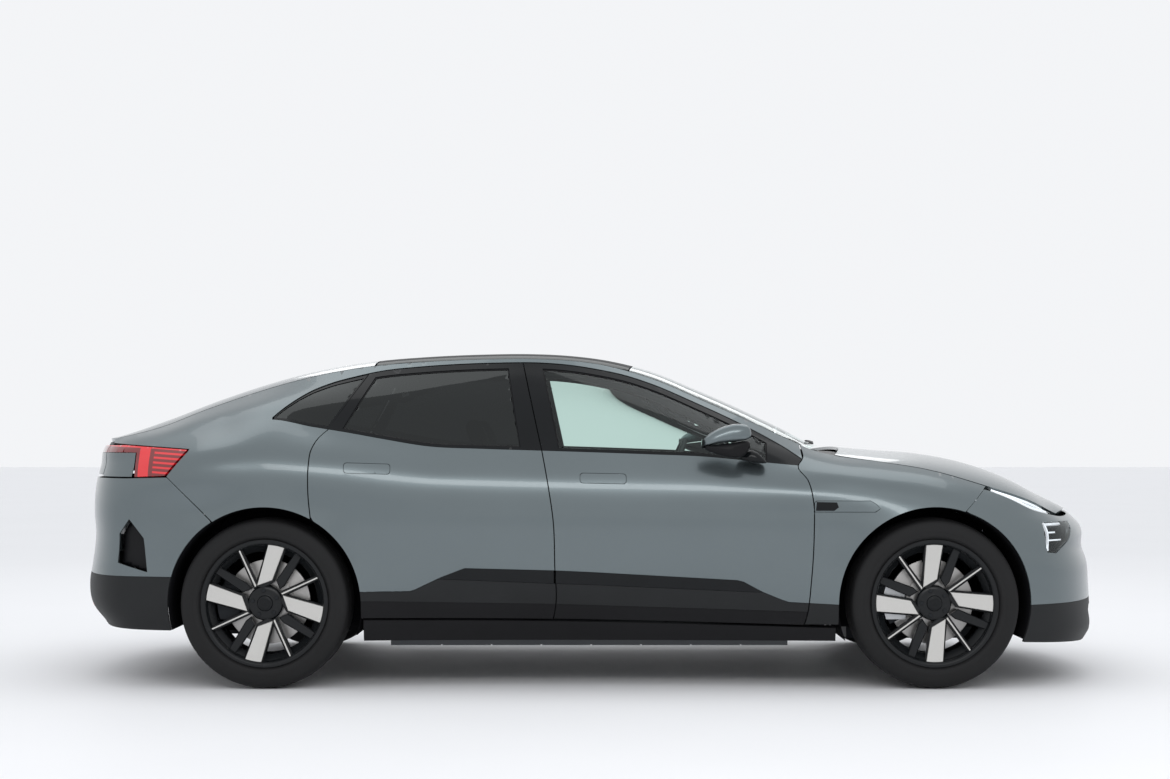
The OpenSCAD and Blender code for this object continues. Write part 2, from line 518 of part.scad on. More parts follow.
// Lines across the car, as x for a share c of the half width
function cowl_x(c) = mix(1200, 1112, c * c);
function screen_foot(c) = mix(1108, 1000, c * c);
function screen_head(c) = mix(205, 168, c * c);
roof_end = -1010;
function bonnet_nose(c) = nose_point(acos(min(1, c * 0.765)), 787)[0];
function deck_tail(c) = tail_point(acos(min(1, c * 0.825)), 1100)[0] + 6;

module bonnet() color(paint) {
    n = 7;
    ts = [0, 0.12, 0.26, 0.4, 0.54, 0.68, 0.8, 0.9, 0.97, 1];
    top_panel([for (t = ts) function(c) mix(cowl_x(c), bonnet_nose(c), t)],
        [for (t = ts) edge_half(mix(cowl_x(1), bonnet_end, t)) - shut_gap - skin_t - (t == 0 ? bonnet_corner : 0)],
        14, n);
    for (s = [-1, 1]) translate([bonnet_axis[0], s * bonnet_hinge_y, bonnet_axis[1]]) {
        difference() {
            union() {
                rotate([90, 0, 0]) cylinder(r = 14, h = 12, center = true);
                rotate([90, 0, 0]) linear_extrude(12, center = true)
                    polygon([[0, -12], [-6, 10], [80, 16], [150, 56], [260, 50], [260, 34], [158, 32], [96, -4]]);
            }
            rotate([90, 0, 0]) cylinder(r = 6 + pin_gap, h = 40, center = true);
        }
    }
}
bonnet_axis = [1062, 975];
bonnet_hinge_y = 715;
// How far the bonnet's rear corners are cut in, to pass the wings as it opens
bonnet_corner = 11;

module windscreen() color(clear) {
    ts = [0, 0.2, 0.4, 0.6, 0.8, 1];
    top_panel([for (t = ts) function(c) mix(screen_foot(c), screen_head(c) + 3, t)],
        [for (t = ts) edge_half(mix(screen_foot(1), screen_head(1), t)) - shut_gap - 2], glass_t, 5);
}

// Cowl panel between the bonnet's rear edge and the windscreen's foot
module cowl() color(black) {
    ts = [0, 0.5, 1];
    top_panel([for (t = ts) function(c) mix(cowl_x(c) - 6, screen_foot(c) - 12, t)],
        [for (t = ts) edge_half(mix(cowl_x(1), screen_foot(1), t)) - shut_gap], 6, 5, 0.84, 24);
    both_sides() block([1034, 594, 960 + seat_gap], [1048, 606, 1062]);
}

module roof_glass() color(tint) {
    ts = steps(0, 1, 8);
    top_panel([for (t = ts) function(c) mix(screen_head(c) - 3, roof_end + 3, t)],
        [for (t = ts) edge_half(mix(screen_head(1), roof_end, t)) - shut_gap], glass_t, 6);
}

// Tailgate: the deck behind the roof glass and the rear face below its lip
tailgate_axis = [roof_end + 100, curve(top_line, roof_end) - 62];
tailgate_hinge_y = 330;
header_rear_x = -860;
header_pad_z = curve(top_line, roof_end) - 33;
module tailgate() color(paint) {
    ts = [0, 0.05, 0.07, 0.2, 0.35, 0.5, 0.65, 0.8, 0.92, 1];
    half = [0, 0.2, 0.4, 0.6, 0.75, 0.86, 0.87, 1];
    shares = concat([for (k = [len(half) - 1 : -1 : 1]) -half[k]], half);
    widths = [for (t = ts) edge_half(mix(roof_end - 10, deck_end, t)) - shut_gap - skin_t];
    outer = [for (c = shares) [for (r = [0 : len(ts) - 1])
        top_point([mix(roof_end - 7, deck_tail(abs(c)), ts[r]), c * widths[r]])]];
    inner = [for (k = [0 : len(shares) - 1]) [for (r = [0 : len(ts) - 1])
        outer[k][r] - [0, 0, r < 2 || abs(shares[k]) > 0.865 ? glass_t : r > 7 ? 22 : 45]]];
    grid_solid(outer, inner);
    tail_patch(tail_a0, 90, 956, 1055 - seat_gap, 18, 8);
    tail_patch(tail_a0 + 2, 90, 1000, 1103, 14, 8, 1, 17.8);
    for (s = [-1, 1]) translate([tailgate_axis[0], s * tailgate_hinge_y, tailgate_axis[1]])
        gooseneck();
}
module gooseneck() difference() {
    union() {
        rotate([90, 0, 0]) cylinder(r = 14, h = 14, center = true);
        rotate([90, 0, 0]) linear_extrude(14, center = true) polygon([
            [-13, 4], [-34, -100], [-70, -112], [-134, -98], [-182, 0], [-190, 24], [-215, 18], [-208, -14],
            [-150, -124], [-62, -140], [-8, -120], [13, -4]]);
    }
    rotate([90, 0, 0]) cylinder(r = 6 + pin_gap, h = 40, center = true);
}

// Patch of the tail between two angles and two heights, from one side to the other
module tail_patch(a0, a1, z0, z1, t, n, rows = 1, step = 0) {
    angles = concat([for (k = [0 : n - 1]) mix(a0, a1, k / n)], [for (k = [n : -1 : 0]) 180 - mix(a0, a1, k / n)]);
    outer = [for (a = angles) [for (r = [0 : rows])
        let (z = mix(z0, z1, r / rows), p = tail_point(a > 90 ? 180 - a : a, z))
            [p[0] + step, a > 90 ? -p[1] : p[1], z]]];
    inner = [for (c = outer) [for (p = c) p + [t, 0, 0]]];
    grid_solid(outer, inner);
}

// Angle round the nose or the tail at which the body reaches x at height z
function nose_angle(x, z) = asin(pow(max(0, min(1, (x - nose_start) / (nose_x(z) - nose_start))), nose_power / 2));
function tail_angle(x, z) = asin(pow(max(0, min(1, (tail_start - x) / (tail_start - tail_x(z)))), tail_power / 2));

// Lower edge of the headlamps, and of the bonnet's nose between them, by x
lamp_low = [[1779, 893], [1899, 846], [1992, 803], [2060, 782], [2136, 764], [2250, 770], [2330, 776]];
fascia_low = 374;
function fascia_side_x(z) =
    let (p = arch_point(front_x, 72))
        z < wheel_z ? front_x + arch_r
        : z < p[1] ? front_x + sqrt(arch_r * arch_r - (z - wheel_z) * (z - wheel_z))
        : mix(p[0], 1779, (z - p[1]) / (edge_z(1779) - p[1]));
function fascia_top(a) = let (x = mix(nose_start, nose_x(780), pow(sin(a), 2 / nose_power))) curve(lamp_low, x);
fascia_rows = [0, 0.16, 0.33, 0.5, 0.67, 0.82, 0.92, 1];
fascia_cols = [0, 0.02, 0.07, 0.15, 0.25, 0.325, 0.43, 0.55, 0.68, 0.81, 0.93];
function fascia_point(c, t) =
    let (zs = mix(fascia_low, 893, t), a0 = nose_angle(fascia_side_x(zs) + half_gap, zs), a = mix(a0, 90, c),
        z = mix(zs, mix(fascia_low, fascia_top(a) - half_gap, t), t < 1 ? min(1, c * 4) : 1))
        nose_point(a, z);
module front_bumper() color(paint) {
    half = [for (c = fascia_cols) [for (t = fascia_rows) fascia_point(c, t)]];
    all = concat(half, [[for (t = fascia_rows) let (p = fascia_point(1, t)) [p[0], 0, p[2]]]],
        [for (k = [len(half) - 1 : -1 : 0]) [for (p = half[k]) [p[0], -p[1], p[2]]]]);
    skin_wrap(all, 12, fascia_low);
    both_sides() block([frame_end + seat_gap, 385, 440], [2341, 445, 550]);
}
// Skin of even thickness over a wrapped grid, from its own point normals, flat where it ends at height z_flat
module skin_wrap(g, t, z_flat = -1) {
    n = len(g);
    m = len(g[0]);
    normal = function(i, j) let (a = g[min(i + 1, n - 1)][j] - g[max(i - 1, 0)][j],
        b = g[i][min(j + 1, m - 1)] - g[i][max(j - 1, 0)]) unit(cross(a, b));
    mid = normal(floor(n / 2), floor(m / 2));
    out = mid[0] * g[floor(n / 2)][0][0] > 0 ? 1 : -1;
    grid_solid(g, [for (i = [0 : n - 1]) [for (j = [0 : m - 1])
        let (v = out * t * normal(i, j)) g[i][j] - (abs(g[i][j][2] - z_flat) < 0.5 ? [v[0], v[1], 0] : v)]]);
}

// Rear bumper: from the arch and the quarter's shut line round the tail
bumper_low = 500;
function rear_side_x(z) =
    z < wheel_z ? rear_x - arch_r : z < 748 ? rear_x - sqrt(arch_r * arch_r - (z - wheel_z) * (z - wheel_z))
    : mix(-1700, -1905, (z - 748) / 200);
rear_rows = [0, 0.18, 0.36, 0.56, 0.72, 0.86, 1];
function rear_point(c, t) =
    let (zs = mix(bumper_low, 945, t), a0 = tail_angle(rear_side_x(zs) - half_gap, zs), a = mix(a0, 90, c),
        z = mix(zs, mix(bumper_low, 940, t), min(1, c * 4)))
        tail_point(a, z);
module rear_bumper() color(paint) {
    half = [for (c = fascia_cols) [for (t = rear_rows) rear_point(c, t)]];
    all = concat(half, [[for (t = rear_rows) let (p = rear_point(1, t)) [p[0], 0, p[2]]]],
        [for (k = [len(half) - 1 : -1 : 0]) [for (p = half[k]) [p[0], -p[1], p[2]]]]);
    skin_wrap(all, 12, bumper_low);
    both_sides() block([-2366, 350, 510], [-2230 - seat_gap, 400, 580]);
}

// Black lower trims: under the nose, the sills and under the tail
nose_low_z = [[0, 206], [50, 180], [90, 172]];
tail_low_z = [[0, 262], [50, 255], [90, 262]];
module lower_trim() color(black) {
    nose_z = [0, 0.35, 0.7, 1];
    nose_half = [for (c = fascia_cols) [for (t = nose_z)
        let (a = mix(nose_angle(1966, 300), 90, c)) nose_point(a, mix(curve(nose_low_z, a), fascia_low - seat_gap, t))]];
    skin_wrap(concat(nose_half, [[for (t = nose_z) let (p = nose_point(90, mix(172, fascia_low - seat_gap, t))) [p[0], 0, p[2]]]],
        [for (k = [len(nose_half) - 1 : -1 : 0]) [for (p = nose_half[k]) [p[0], -p[1], p[2]]]]), 12,
        fascia_low - seat_gap);
    tail_half = [for (c = fascia_cols) [for (t = nose_z)
        let (a = mix(tail_angle(-1906, 400), 90, c)) tail_point(a, mix(curve(tail_low_z, a), bumper_low - seat_gap, t))]];
    skin_wrap(concat(tail_half, [[for (t = nose_z) let (p = tail_point(90, mix(262, bumper_low - seat_gap, t))) [p[0], 0, p[2]]]],
        [for (k = [len(tail_half) - 1 : -1 : 0]) [for (p = tail_half[k]) [p[0], -p[1], p[2]]]]), 12,
        bumper_low - seat_gap);
    both_sides() grid_solid(
        [for (x = steps(-1028, 1090, 8)) [for (z = [210, 250, door_floor(x) - 6]) side_point([x, z])]],
        [for (x = steps(-1028, 1090, 8)) [for (z = [210, 250, door_floor(x) - 6]) [x, 852 + seat_gap, z]]]);
}
function door_floor(x) = curve(door_low, x);

liner_gap = 5.5;
module arch_liners() color(black) both_sides() for (x = [front_x, rear_x])
    translate([x, 924, wheel_z]) rotate([90, 0, 0]) linear_extrude(x > 0 ? 414 : 234) difference() {
        circle(r = arch_r + liner_gap + 4);
        circle(r = arch_r + liner_gap);
        translate([-600, -1200]) square([1200, 1200 + (x > 0 ? -60 : -20)]);
    }

module quarter_windows() color(tint) both_sides() {
    foot_x = rear_door_cells[0][fd_rows_n - 1][0] - shut_gap - 2;
    cells = [for (s = [0, 0.25, 0.5, 0.72, 0.9, 1])
        let (xb = mix(foot_x, -1446, s), xt = mix(-1043, -1440, s),
            b = [xb, curve(belt_line, xb) + 0.2], t = [xt, curve(glass_top, xt) - 1.4])
            [for (u = [0, 0.5, 1]) mix(b, t, u)]];
    outer = [for (c = cells) [for (p = c) side_point(p) - [0, 4, 0]]];
    grid_solid(outer, [for (c = outer) [for (p = c) p - [0, 18, 0]]]);
}

// Headlamps between the bumper and the bonnet's edge, and the slim upright lamps below them
module headlamps() color(clear) both_sides() {
    a0 = nose_angle(fascia_side_x(893) + half_gap, 893);
    outer = [for (c = [0.02, 0.07, 0.15, 0.25, 0.325])
        let (a = mix(a0, 90, c), low = fascia_top(a) - half_gap, x = nose_point(a, low)[0])
            [nose_point(a, low + seat_gap), nose_point(a, max(low + 10, edge_z(x) - shut_gap))]];
    inner = [for (c = outer) [for (p = c) p - [34, 26, 0]]];
    grid_solid(outer, inner);
}

module tail_lamps() color(red) both_sides() {
    cells = [for (s = [0, 0.35, 0.7, 1]) [for (t = [0, 0.5, 1])
        let (f = mix([-1912, 952], [-1822, 1060], t), b = mix([-2060, 946], [-2060, lamp_top(-2060) - half_gap], t),
            p = mix(f, b, s))
            [p[0], t == 1 ? lamp_top(p[0]) - half_gap : p[1]]]];
    side_panel(cells, function(i, j) 34);
    side_panel([for (s = [0, 0.5, 1]) [for (t = [0, 1])
        [mix(-2059, corner_x(1089) + shut_gap, s), mix(1056, lamp_top(-2130) - 4, t)]]], function(i, j) [24, 16, 3][i]);
}
module light_bar() color(red) tail_patch(tail_a0, 90, 1055, 1089, 19, 8, 1, -1.8);

// Floor, battery and front structure
module floor() color(grey) {
    translate([0, 790 - seat_gap, 0]) rotate([90, 0, 0]) linear_extrude(1580 - 2 * seat_gap) polygon([
        [960, 960], [960, 300], [880, 262], [-980, 262], [-980, 290], [868, 290], [936, 316], [936, 960]]);
    translate([0, 640, 0]) rotate([90, 0, 0]) linear_extrude(1280) polygon([
        [-950, 262], [-980, 262], [-1060, 500], [-1200, 560], [-1210, 592], [-1036, 530], [-958, 290]]);
    translate([0, 500, 0]) rotate([90, 0, 0]) linear_extrude(1000) polygon([
        [-1195, 556], [-2150, 556], [-2170, 500], [-2230, 500], [-2230, 590], [-1195, 590]]);
}
module battery_pack() color(metal) difference() {
    block([-930, -690, 166], [900, 690, 262 - seat_gap]);
    for (x = [-700 : 230 : 700]) translate([x, -700, 160]) cube([8, 1400, 10]);
}
frame_start = 960 + seat_gap;
frame_end = 2280;
module front_frame() color(black) {
    both_sides() block([frame_start, 380, 430], [frame_end, 450, 560]);
    block([2190, -560, 440], [2260, 560, 560]);
    block([frame_start, -780, 900], [1050, 780, 960]);
    block([2100, -380, 690], [2160, 380, 740]);
    both_sides() block([2105, 330, 500], [2150, 380, 720]);
    for (s = [-1, 1]) translate([bonnet_axis[0], s * bonnet_hinge_y, bonnet_axis[1]]) {
        rotate([90, 0, 0]) cylinder(r = 6, h = 38, center = true);
        for (q = [-1, 1]) translate([0, q * 14, 0]) rotate([90, 0, 0]) linear_extrude(10, center = true)
            polygon([[14, 12], [14, -12], [-8, -30], [-60, -30], [-60, -10], [-14, 12]]);
    }
}

// Wheels, each in its own frame: the axle along y, outboard towards +y, y = 0 at the tyre's middle
rim_half = 112;
hub_face = 45;
module tyre_ring() color(black) rotate([90, 0, 0]) rotate_extrude($fn = 72) {
    w = tyre_w / 2;
    r = tyre_d / 2;
    b = rim_d / 2 + seat_gap;
    h = rim_half - 4 - seat_gap;
    polygon([[b, -h + 2], [b + 19.5, -h], [b + 26, -w + 7], [b + 45, -w], [b + 75, -w + 3], [r - 14, -w + 14],
        [r - 3, -w + 32], [r, -w + 60], [r, w - 60], [r - 3, w - 32], [r - 14, w - 14], [b + 75, w - 3],
        [b + 45, w], [b + 26, w - 7], [b + 19.5, h], [b, h - 2], [b, h - 16], [b + 40, w - 18],
        [b + 70, w - 18], [r - 18, w - 34], [r - 18, -w + 34], [b + 70, -w + 18], [b + 40, -w + 18],
        [b, -h + 16]]);
}
module rim_barrel() rotate([90, 0, 0]) rotate_extrude($fn = 72) {
    b = rim_d / 2;
    h = rim_half;
    polygon([[b + 18, -h - 2], [b + 18, -h + 4], [b, -h + 6], [b, -h + 36], [b - 26, -h + 52],
        [b - 26, h - 60], [b, h - 38], [b, h - 6], [b + 19, h - 4], [b + 19, h + 4], [b + 4, h + 6],
        [b - 10, h - 8], [b - 12, h - 34], [b - 36, h - 60], [b - 36, -h + 50], [b - 9, -h + 30],
        [b - 9, -h]]);
}
// Points of a spoke's outline at radius r and angle a
function polar(r, a) = [r * cos(a), r * sin(a)];
spokes = 4;
blade_from = -6;
blade_to = 7.5;
blade_foot = -37;
// A spoke: its outline in the wheel's plane, between two depths
module spoke(outline, y0, y1, tilt) for (k = [0 : spokes - 1])
    rotate([0, k * 360 / spokes, 0]) translate([0, y0, 0]) rotate([0, 0, tilt])
        rotate([-90, 0, 0]) linear_extrude(y1 - y0) polygon([for (p = outline) [p[0], -p[1]]]);
module wheel_rim() color(metal) difference() {
    rim_r = rim_d / 2 - 4;
    union() {
        rim_barrel();
        spoke([polar(rim_r, blade_from), polar(rim_r, blade_to), polar(105, 4), polar(86, blade_foot)],
            70, 100, 3);
        spoke([polar(rim_r, blade_foot - 1), polar(rim_r, blade_foot + 1.6), polar(90, blade_foot + 6),
            polar(90, blade_foot - 6)], 66, 92, 3);
        rotate([90, 0, 0]) translate([0, 0, -92]) cylinder(r = 94, h = 92 - hub_face, $fn = 64);
        rotate([90, 0, 0]) translate([0, 0, -hub_face - 1]) cylinder(r = 84, h = hub_face + 1 - 8);
        rotate([90, 0, 0]) translate([0, 0, -8.5]) cylinder(r = disc_d / 2, h = disc_t, $fn = 96);
        rotate([90, 0, 0]) translate([0, 0, -9]) cylinder(r = 30, h = 122);
    }
    rotate([90, 0, 0]) translate([0, 0, -98]) cylinder(r = 32, h = 14);
    for (k = [0 : 4]) rotate([0, 36 + 72 * k, 0]) translate([57, 99, 0]) rotate([90, 0, 0]) cylinder(r = 11, h = 26);
}
// Angle that the rear wheels have rolled to
rear_turn = -11;
module at_wheel(x, s, turn = 0)
    translate([x, s * wheel_y, wheel_z]) rotate([0, 0, s > 0 ? 0 : 180]) rotate([0, turn, 0]) children();

// Upright that carries the hub: its sleeve, post, brake caliper and ball pins
steer_y = -75;
ball_low = -165;
ball_high = 150;
ball_r = 12;
module upright(pins) color(metal) {
    difference() {
        union() {
            rotate([90, 0, 0]) translate([0, 0, 27]) cylinder(r = 58, h = 82);
            translate([-34, steer_y - 22, ball_low + 18]) cube([68, 44, ball_high - ball_low - 36]);
            translate([-205, -55, -46]) cube([190, 18, 92]);
        }
        rotate([90, 0, 0]) translate([0, 0, 10]) cylinder(r = 30 + pin_gap, h = 140);
    }
    difference() {
        translate([-222, -64, -76]) cube([100, 110, 152]);
        translate([0, 4 - disc_t, 0]) rotate([-90, 0, 0]) cylinder(r = disc_d / 2 + 6, h = disc_t + 9, $fn = 96);
        rotate([90, 0, 0]) translate([0, 0, -60]) cylinder(r = 128, h = 200);
        rotate([90, 0, 0]) translate([0, 0, -60]) difference() {
            cylinder(r = 320, h = 200);
            translate([0, 0, -1]) cylinder(r = 222, h = 202, $fn = 96);
        }
    }
    if (pins) for (z = [ball_low - 20, ball_high - 20]) translate([0, steer_y, z]) cylinder(r = ball_r, h = 40);
}
module knuckle(s) translate([front_x, s * wheel_y, wheel_z]) side_of(s) upright(true);

module eye_arm(z, y_in, half_in, t) difference() {
    union() {
        translate([0, steer_y, z - t / 2]) cylinder(r = 26, h = t);
        translate([0, 0, z - t / 2]) linear_extrude(t) polygon([[-24, steer_y], [24, steer_y],
            [60, steer_y - 140], [half_in, y_in], [-half_in, y_in], [-60, steer_y - 140]]);
    }
    translate([0, steer_y, z - t]) cylinder(r = ball_r + pin_gap, h = 2 * t);
}
module half_shaft(end) rotate([90, 0, 0]) {
    translate([0, 0, end]) cylinder(r = 15, h = wheel_y - 235 - end);
    translate([0, 0, end]) cylinder(r = 40, h = 46);
    translate([0, 0, end + 46]) cylinder(r1 = 40, r2 = 22, h = 60);
}
module front_suspension() color(black) {
    block([front_x - 330, -470, 176], [front_x - 270, 470, 236]);
    block([front_x + 230, -470, 176], [front_x + 290, 470, 236]);
    both_sides() block([front_x - 330, 400, 176], [front_x + 290, 470, 236]);
    both_sides() block([front_x - 60, 380, 560 + seat_gap], [front_x + 60, 480, 640]);
    both_sides() for (x = [front_x - 320, front_x + 240]) block([x, 410, 230], [x + 40, 440, 430 - seat_gap]);
    both_sides() translate([front_x, wheel_y, wheel_z]) {
        eye_arm(ball_low, 460 - wheel_y, 150, 26);
        eye_arm(ball_high, 450 + seat_gap - wheel_y, 80, 22);
        half_shaft(139);
    }
    both_sides() block([front_x - 60, 450 + seat_gap, 500], [front_x + 60, 480, 561]);
    both_sides() block([front_x - 150, 400, 200], [front_x + 150, 462, 232]);
}
module rear_suspension() color(black) {
    block([rear_x - 300, -470, 196], [rear_x - 240, 470, 256]);
    block([rear_x + 180, -470, 196], [rear_x + 240, 470, 256]);
    both_sides() block([rear_x - 300, 400, 196], [rear_x + 240, 470, 256]);
    both_sides() translate([rear_x, wheel_y, wheel_z]) {
        upright(false);
        for (z = [ball_low + 18, ball_high - 40]) translate([0, 0, z]) linear_extrude(24)
            polygon([[-24, steer_y], [24, steer_y], [60, steer_y - 140], [130, 450 - wheel_y], [-130, 450 - wheel_y], [-60, steer_y - 140]]);
        half_shaft(114);
    }
    both_sides() block([rear_x - 130, 400, 250], [rear_x + 130, 470, 556 - seat_gap]);
}
module drive_units() color(metal) for (x = [front_x, rear_x]) {
    low = (x > 0 ? 236 : 256) + seat_gap;
    block([x - 200, -230, low], [x + 170, 230, 500]);
    block([x - 300, -60, low], [x + 240, 60, low + 30]);
    translate([x, 234.6, wheel_z]) rotate([90, 0, 0]) cylinder(r = 60, h = 469.2);
}

// Cabin
module rounded_pad(lo, hi, r) hull() for (x = [lo[0] + r, hi[0] - r], y = [lo[1] + r, hi[1] - r], z = [lo[2] + r, hi[2] - r])
    translate([x, y, z]) sphere(r = r, $fn = 8);
seat_x = -80;
seat_y = 370;
module front_seat() {
    rounded_pad([seat_x - 230, -seat_w / 2, 430], [seat_x + 290, seat_w / 2, 560], 40);
    translate([seat_x - 210, 0, 470]) rotate([0, -22, 0])
        rounded_pad([-70, -seat_w / 2, 0], [60, seat_w / 2, 620], 45);
    translate([seat_x - 210, 0, 470]) rotate([0, -22, 0]) rounded_pad([-35, -125, 600], [50, 125, 800], 40);
    block([seat_x - 200, -190, 290 + seat_gap], [seat_x + 230, -150, 440]);
    block([seat_x - 200, 150, 290 + seat_gap], [seat_x + 230, 190, 440]);
}
module front_seats() color(grey) for (y = [-seat_y, seat_y]) translate([0, y, 0]) front_seat();
module rear_seat() color(grey) {
    rounded_pad([-960, -640, 402], [-620, 640, 560], 40);
    translate([-930, 0, 504]) rotate([0, -28, 0]) rounded_pad([-60, -620, 0], [78, 620, 560], 45);
    for (y = [-420, 0, 420]) translate([-930, y, 504]) rotate([0, -28, 0]) rounded_pad([-25, -118, 546], [44, 118, 706], 30);
    both_sides() block([-930, 300, 290 + seat_gap], [-690, 560, 430]);
}
module dashboard() color(grey) {
    hull() {
        rounded_pad([760, -770, 880], [930, 770, 970], 30);
        rounded_pad([930 - dash_depth, -760, 760], [900, 760, 900], 40);
    }
    block([560, -190, 800], [615, 190, 1000]);
    hull() { rounded_pad([-300, -110, 470], [300, 110, 560], 20); block([-300, -100, 290 + seat_gap], [500, 100, 300]); }
    hull() { rounded_pad([250, -110, 470], [640, 110, 600], 20); block([300, -90, 300], [640, 90, 780]); }
    translate([640, seat_y, 850]) rotate([0, -68, 0]) difference() {
        translate([0, 0, -60]) cylinder(r = 32, h = 260);
        translate([0, 0, 150]) cylinder(r = 14 + pin_gap, h = 60);
    }
}
column_tilt = -68;
module steering_wheel() color(black) translate([640, seat_y, 850]) rotate([0, column_tilt, 0]) {
    translate([0, 0, 152]) cylinder(r = 14, h = 80);
    translate([0, 0, 215]) difference() {
        cylinder(r = 70, h = 40);
        translate([0, 0, 34]) cylinder(r = 40, h = 10);
    }
    translate([0, 0, 245]) rotate_extrude() translate([175, 0]) circle(r = 16, $fn = 24);
    for (a = [0, 90, 270]) rotate([0, 0, a]) translate([60, -20, 232]) cube([105, 40, 18]);
}

// Door mirror: shell on a foot at the window's front corner
module mirror_shell(s) side_of(s) color(paint) {
    hull() for (q = [[700, 1110, 26], [640, 1150, 40], [560, 1120, 62], [500, 1095, 34]])
        translate([q[0] - 20, 1012, q[1] - 2]) rotate([90, 0, 0]) cylinder(r = q[2], h = 90, center = true, $fn = 24);
    hull() {
        translate([640, 985, 1030]) cube([90, 20, 64]);
        translate([720, side_y(716, 1004) - 1, 1006]) cube([70, 10, 26]);
    }
}

body_side(1);  // body_side_left
body_side(-1);  // body_side_right
floor();
battery_pack();
front_frame();
door_hinges();
front_wing(1);  // front_wing_left
front_wing(-1);  // front_wing_right
front_bumper();
rear_bumper();
lower_trim();
arch_liners();
cowl();
windscreen();
roof_glass();
quarter_windows();
headlamps();
tail_lamps();
front_suspension();
rear_suspension();
drive_units();
dashboard();
front_seats();
rear_seat();
bonnet();
tailgate();
light_bar();
door_front(1);  // door_front_left
door_front(-1);  // door_front_right
door_rear(1);  // door_rear_left
door_rear(-1);  // door_rear_right
window_front(1);  // window_front_left
window_front(-1);  // window_front_right
window_rear(1);  // window_rear_left
window_rear(-1);  // window_rear_right
mirror_shell(1);  // mirror_left
mirror_shell(-1);  // mirror_right
steering_wheel();
knuckle(1);  // knuckle_left
knuckle(-1);  // knuckle_right
at_wheel(front_x, 1) wheel_rim();  // rim_front_left
at_wheel(front_x, -1) wheel_rim();  // rim_front_right
at_wheel(rear_x, 1, rear_turn) wheel_rim();  // rim_rear_left
at_wheel(rear_x, -1, rear_turn) wheel_rim();  // rim_rear_right
at_wheel(front_x, 1) tyre_ring();  // tyre_front_left
at_wheel(front_x, -1) tyre_ring();  // tyre_front_right
at_wheel(rear_x, 1) tyre_ring();  // tyre_rear_left
at_wheel(rear_x, -1) tyre_ring();  // tyre_rear_right
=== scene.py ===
# %% [markdown]
# # A coupe sport utility vehicle, dressed over its CAD frame
# The CAD model comes in first and stays where it is. Every piece below is made in
# millimetres in the car's own frame, forward +X, left +Y, up +Z, then turned to metres,
# so it needs no fitting: it lies where the solids lie.

# %% Load the frame
import itertools
import math
from functools import partial

import bmesh
import bpy
import numpy as np
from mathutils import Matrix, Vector, geometry


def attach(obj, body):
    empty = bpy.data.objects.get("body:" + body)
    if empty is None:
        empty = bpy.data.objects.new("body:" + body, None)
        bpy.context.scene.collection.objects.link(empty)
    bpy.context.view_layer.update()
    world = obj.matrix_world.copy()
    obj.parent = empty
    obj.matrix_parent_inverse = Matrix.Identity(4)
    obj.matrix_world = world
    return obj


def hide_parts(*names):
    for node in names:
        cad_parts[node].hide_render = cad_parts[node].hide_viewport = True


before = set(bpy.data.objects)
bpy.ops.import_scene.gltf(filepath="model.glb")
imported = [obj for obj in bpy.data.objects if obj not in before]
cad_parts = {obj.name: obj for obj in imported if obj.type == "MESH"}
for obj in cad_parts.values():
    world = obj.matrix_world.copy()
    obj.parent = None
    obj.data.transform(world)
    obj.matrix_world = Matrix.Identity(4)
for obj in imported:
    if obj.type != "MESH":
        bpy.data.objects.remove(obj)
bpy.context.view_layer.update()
MM = 0.001
FRONT_X, REAR_X, WHEEL_Z, WHEEL_Y, ARCH_R = 1531.0, -1468.0, 381.5, 855.0, 432.0
SIDES = (("left", 1), ("right", -1))

# %% [markdown]
# ## Camera, floor and light
# The photograph looks square at the car's right side from about nine metres, a little
# above the middle of the doors. A pale floor and a pale world make the studio. Metal and
# glass see the world as the camera does, while the light that it sheds stays plain.

# %% Camera
camera_data = bpy.data.cameras.new("camera")
camera_data.lens = 57.5
camera_data.sensor_width = 36
camera = bpy.data.objects.new("camera", camera_data)
bpy.context.collection.objects.link(camera)
camera.location = (-0.0345, -9.34, 1.127)
camera.rotation_euler = (math.radians(91.45), 0, 0)
bpy.context.scene.camera = camera
bpy.context.scene.view_settings.view_transform = "Standard"

# %% [markdown]
# ## Shader maths
# A small class wraps a socket, so that a pattern is written as a sum. Everything else
# that a material needs comes from one method that takes a node's type and its sockets.


# %% Shader helpers
class Level:
    """A number in a node tree that Python's operators work on."""

    def __init__(self, finish, socket):
        self.finish, self.socket = finish, socket

    def maths(self, operation, *values):
        return self.finish.node("ShaderNodeMath", {"operation": operation}, dict(enumerate(values)))

    def __add__(self, other):
        return self.maths("ADD", self, other)

    def __sub__(self, other):
        return self.maths("SUBTRACT", self, other)

    def __rsub__(self, other):
        return self.maths("SUBTRACT", other, self)

    def __mul__(self, other):
        return self.maths("MULTIPLY", self, other)

    def __truediv__(self, other):
        return self.maths("DIVIDE", self, other)

    __radd__ = __add__
    __rmul__ = __mul__

    def above(self, limit):
        return self.maths("GREATER_THAN", self, limit)

    def below(self, limit):
        return self.maths("LESS_THAN", self, limit)

    def wave(self):
        return self.maths("SINE", self)

    def fraction(self):
        return self.maths("FRACT", self)


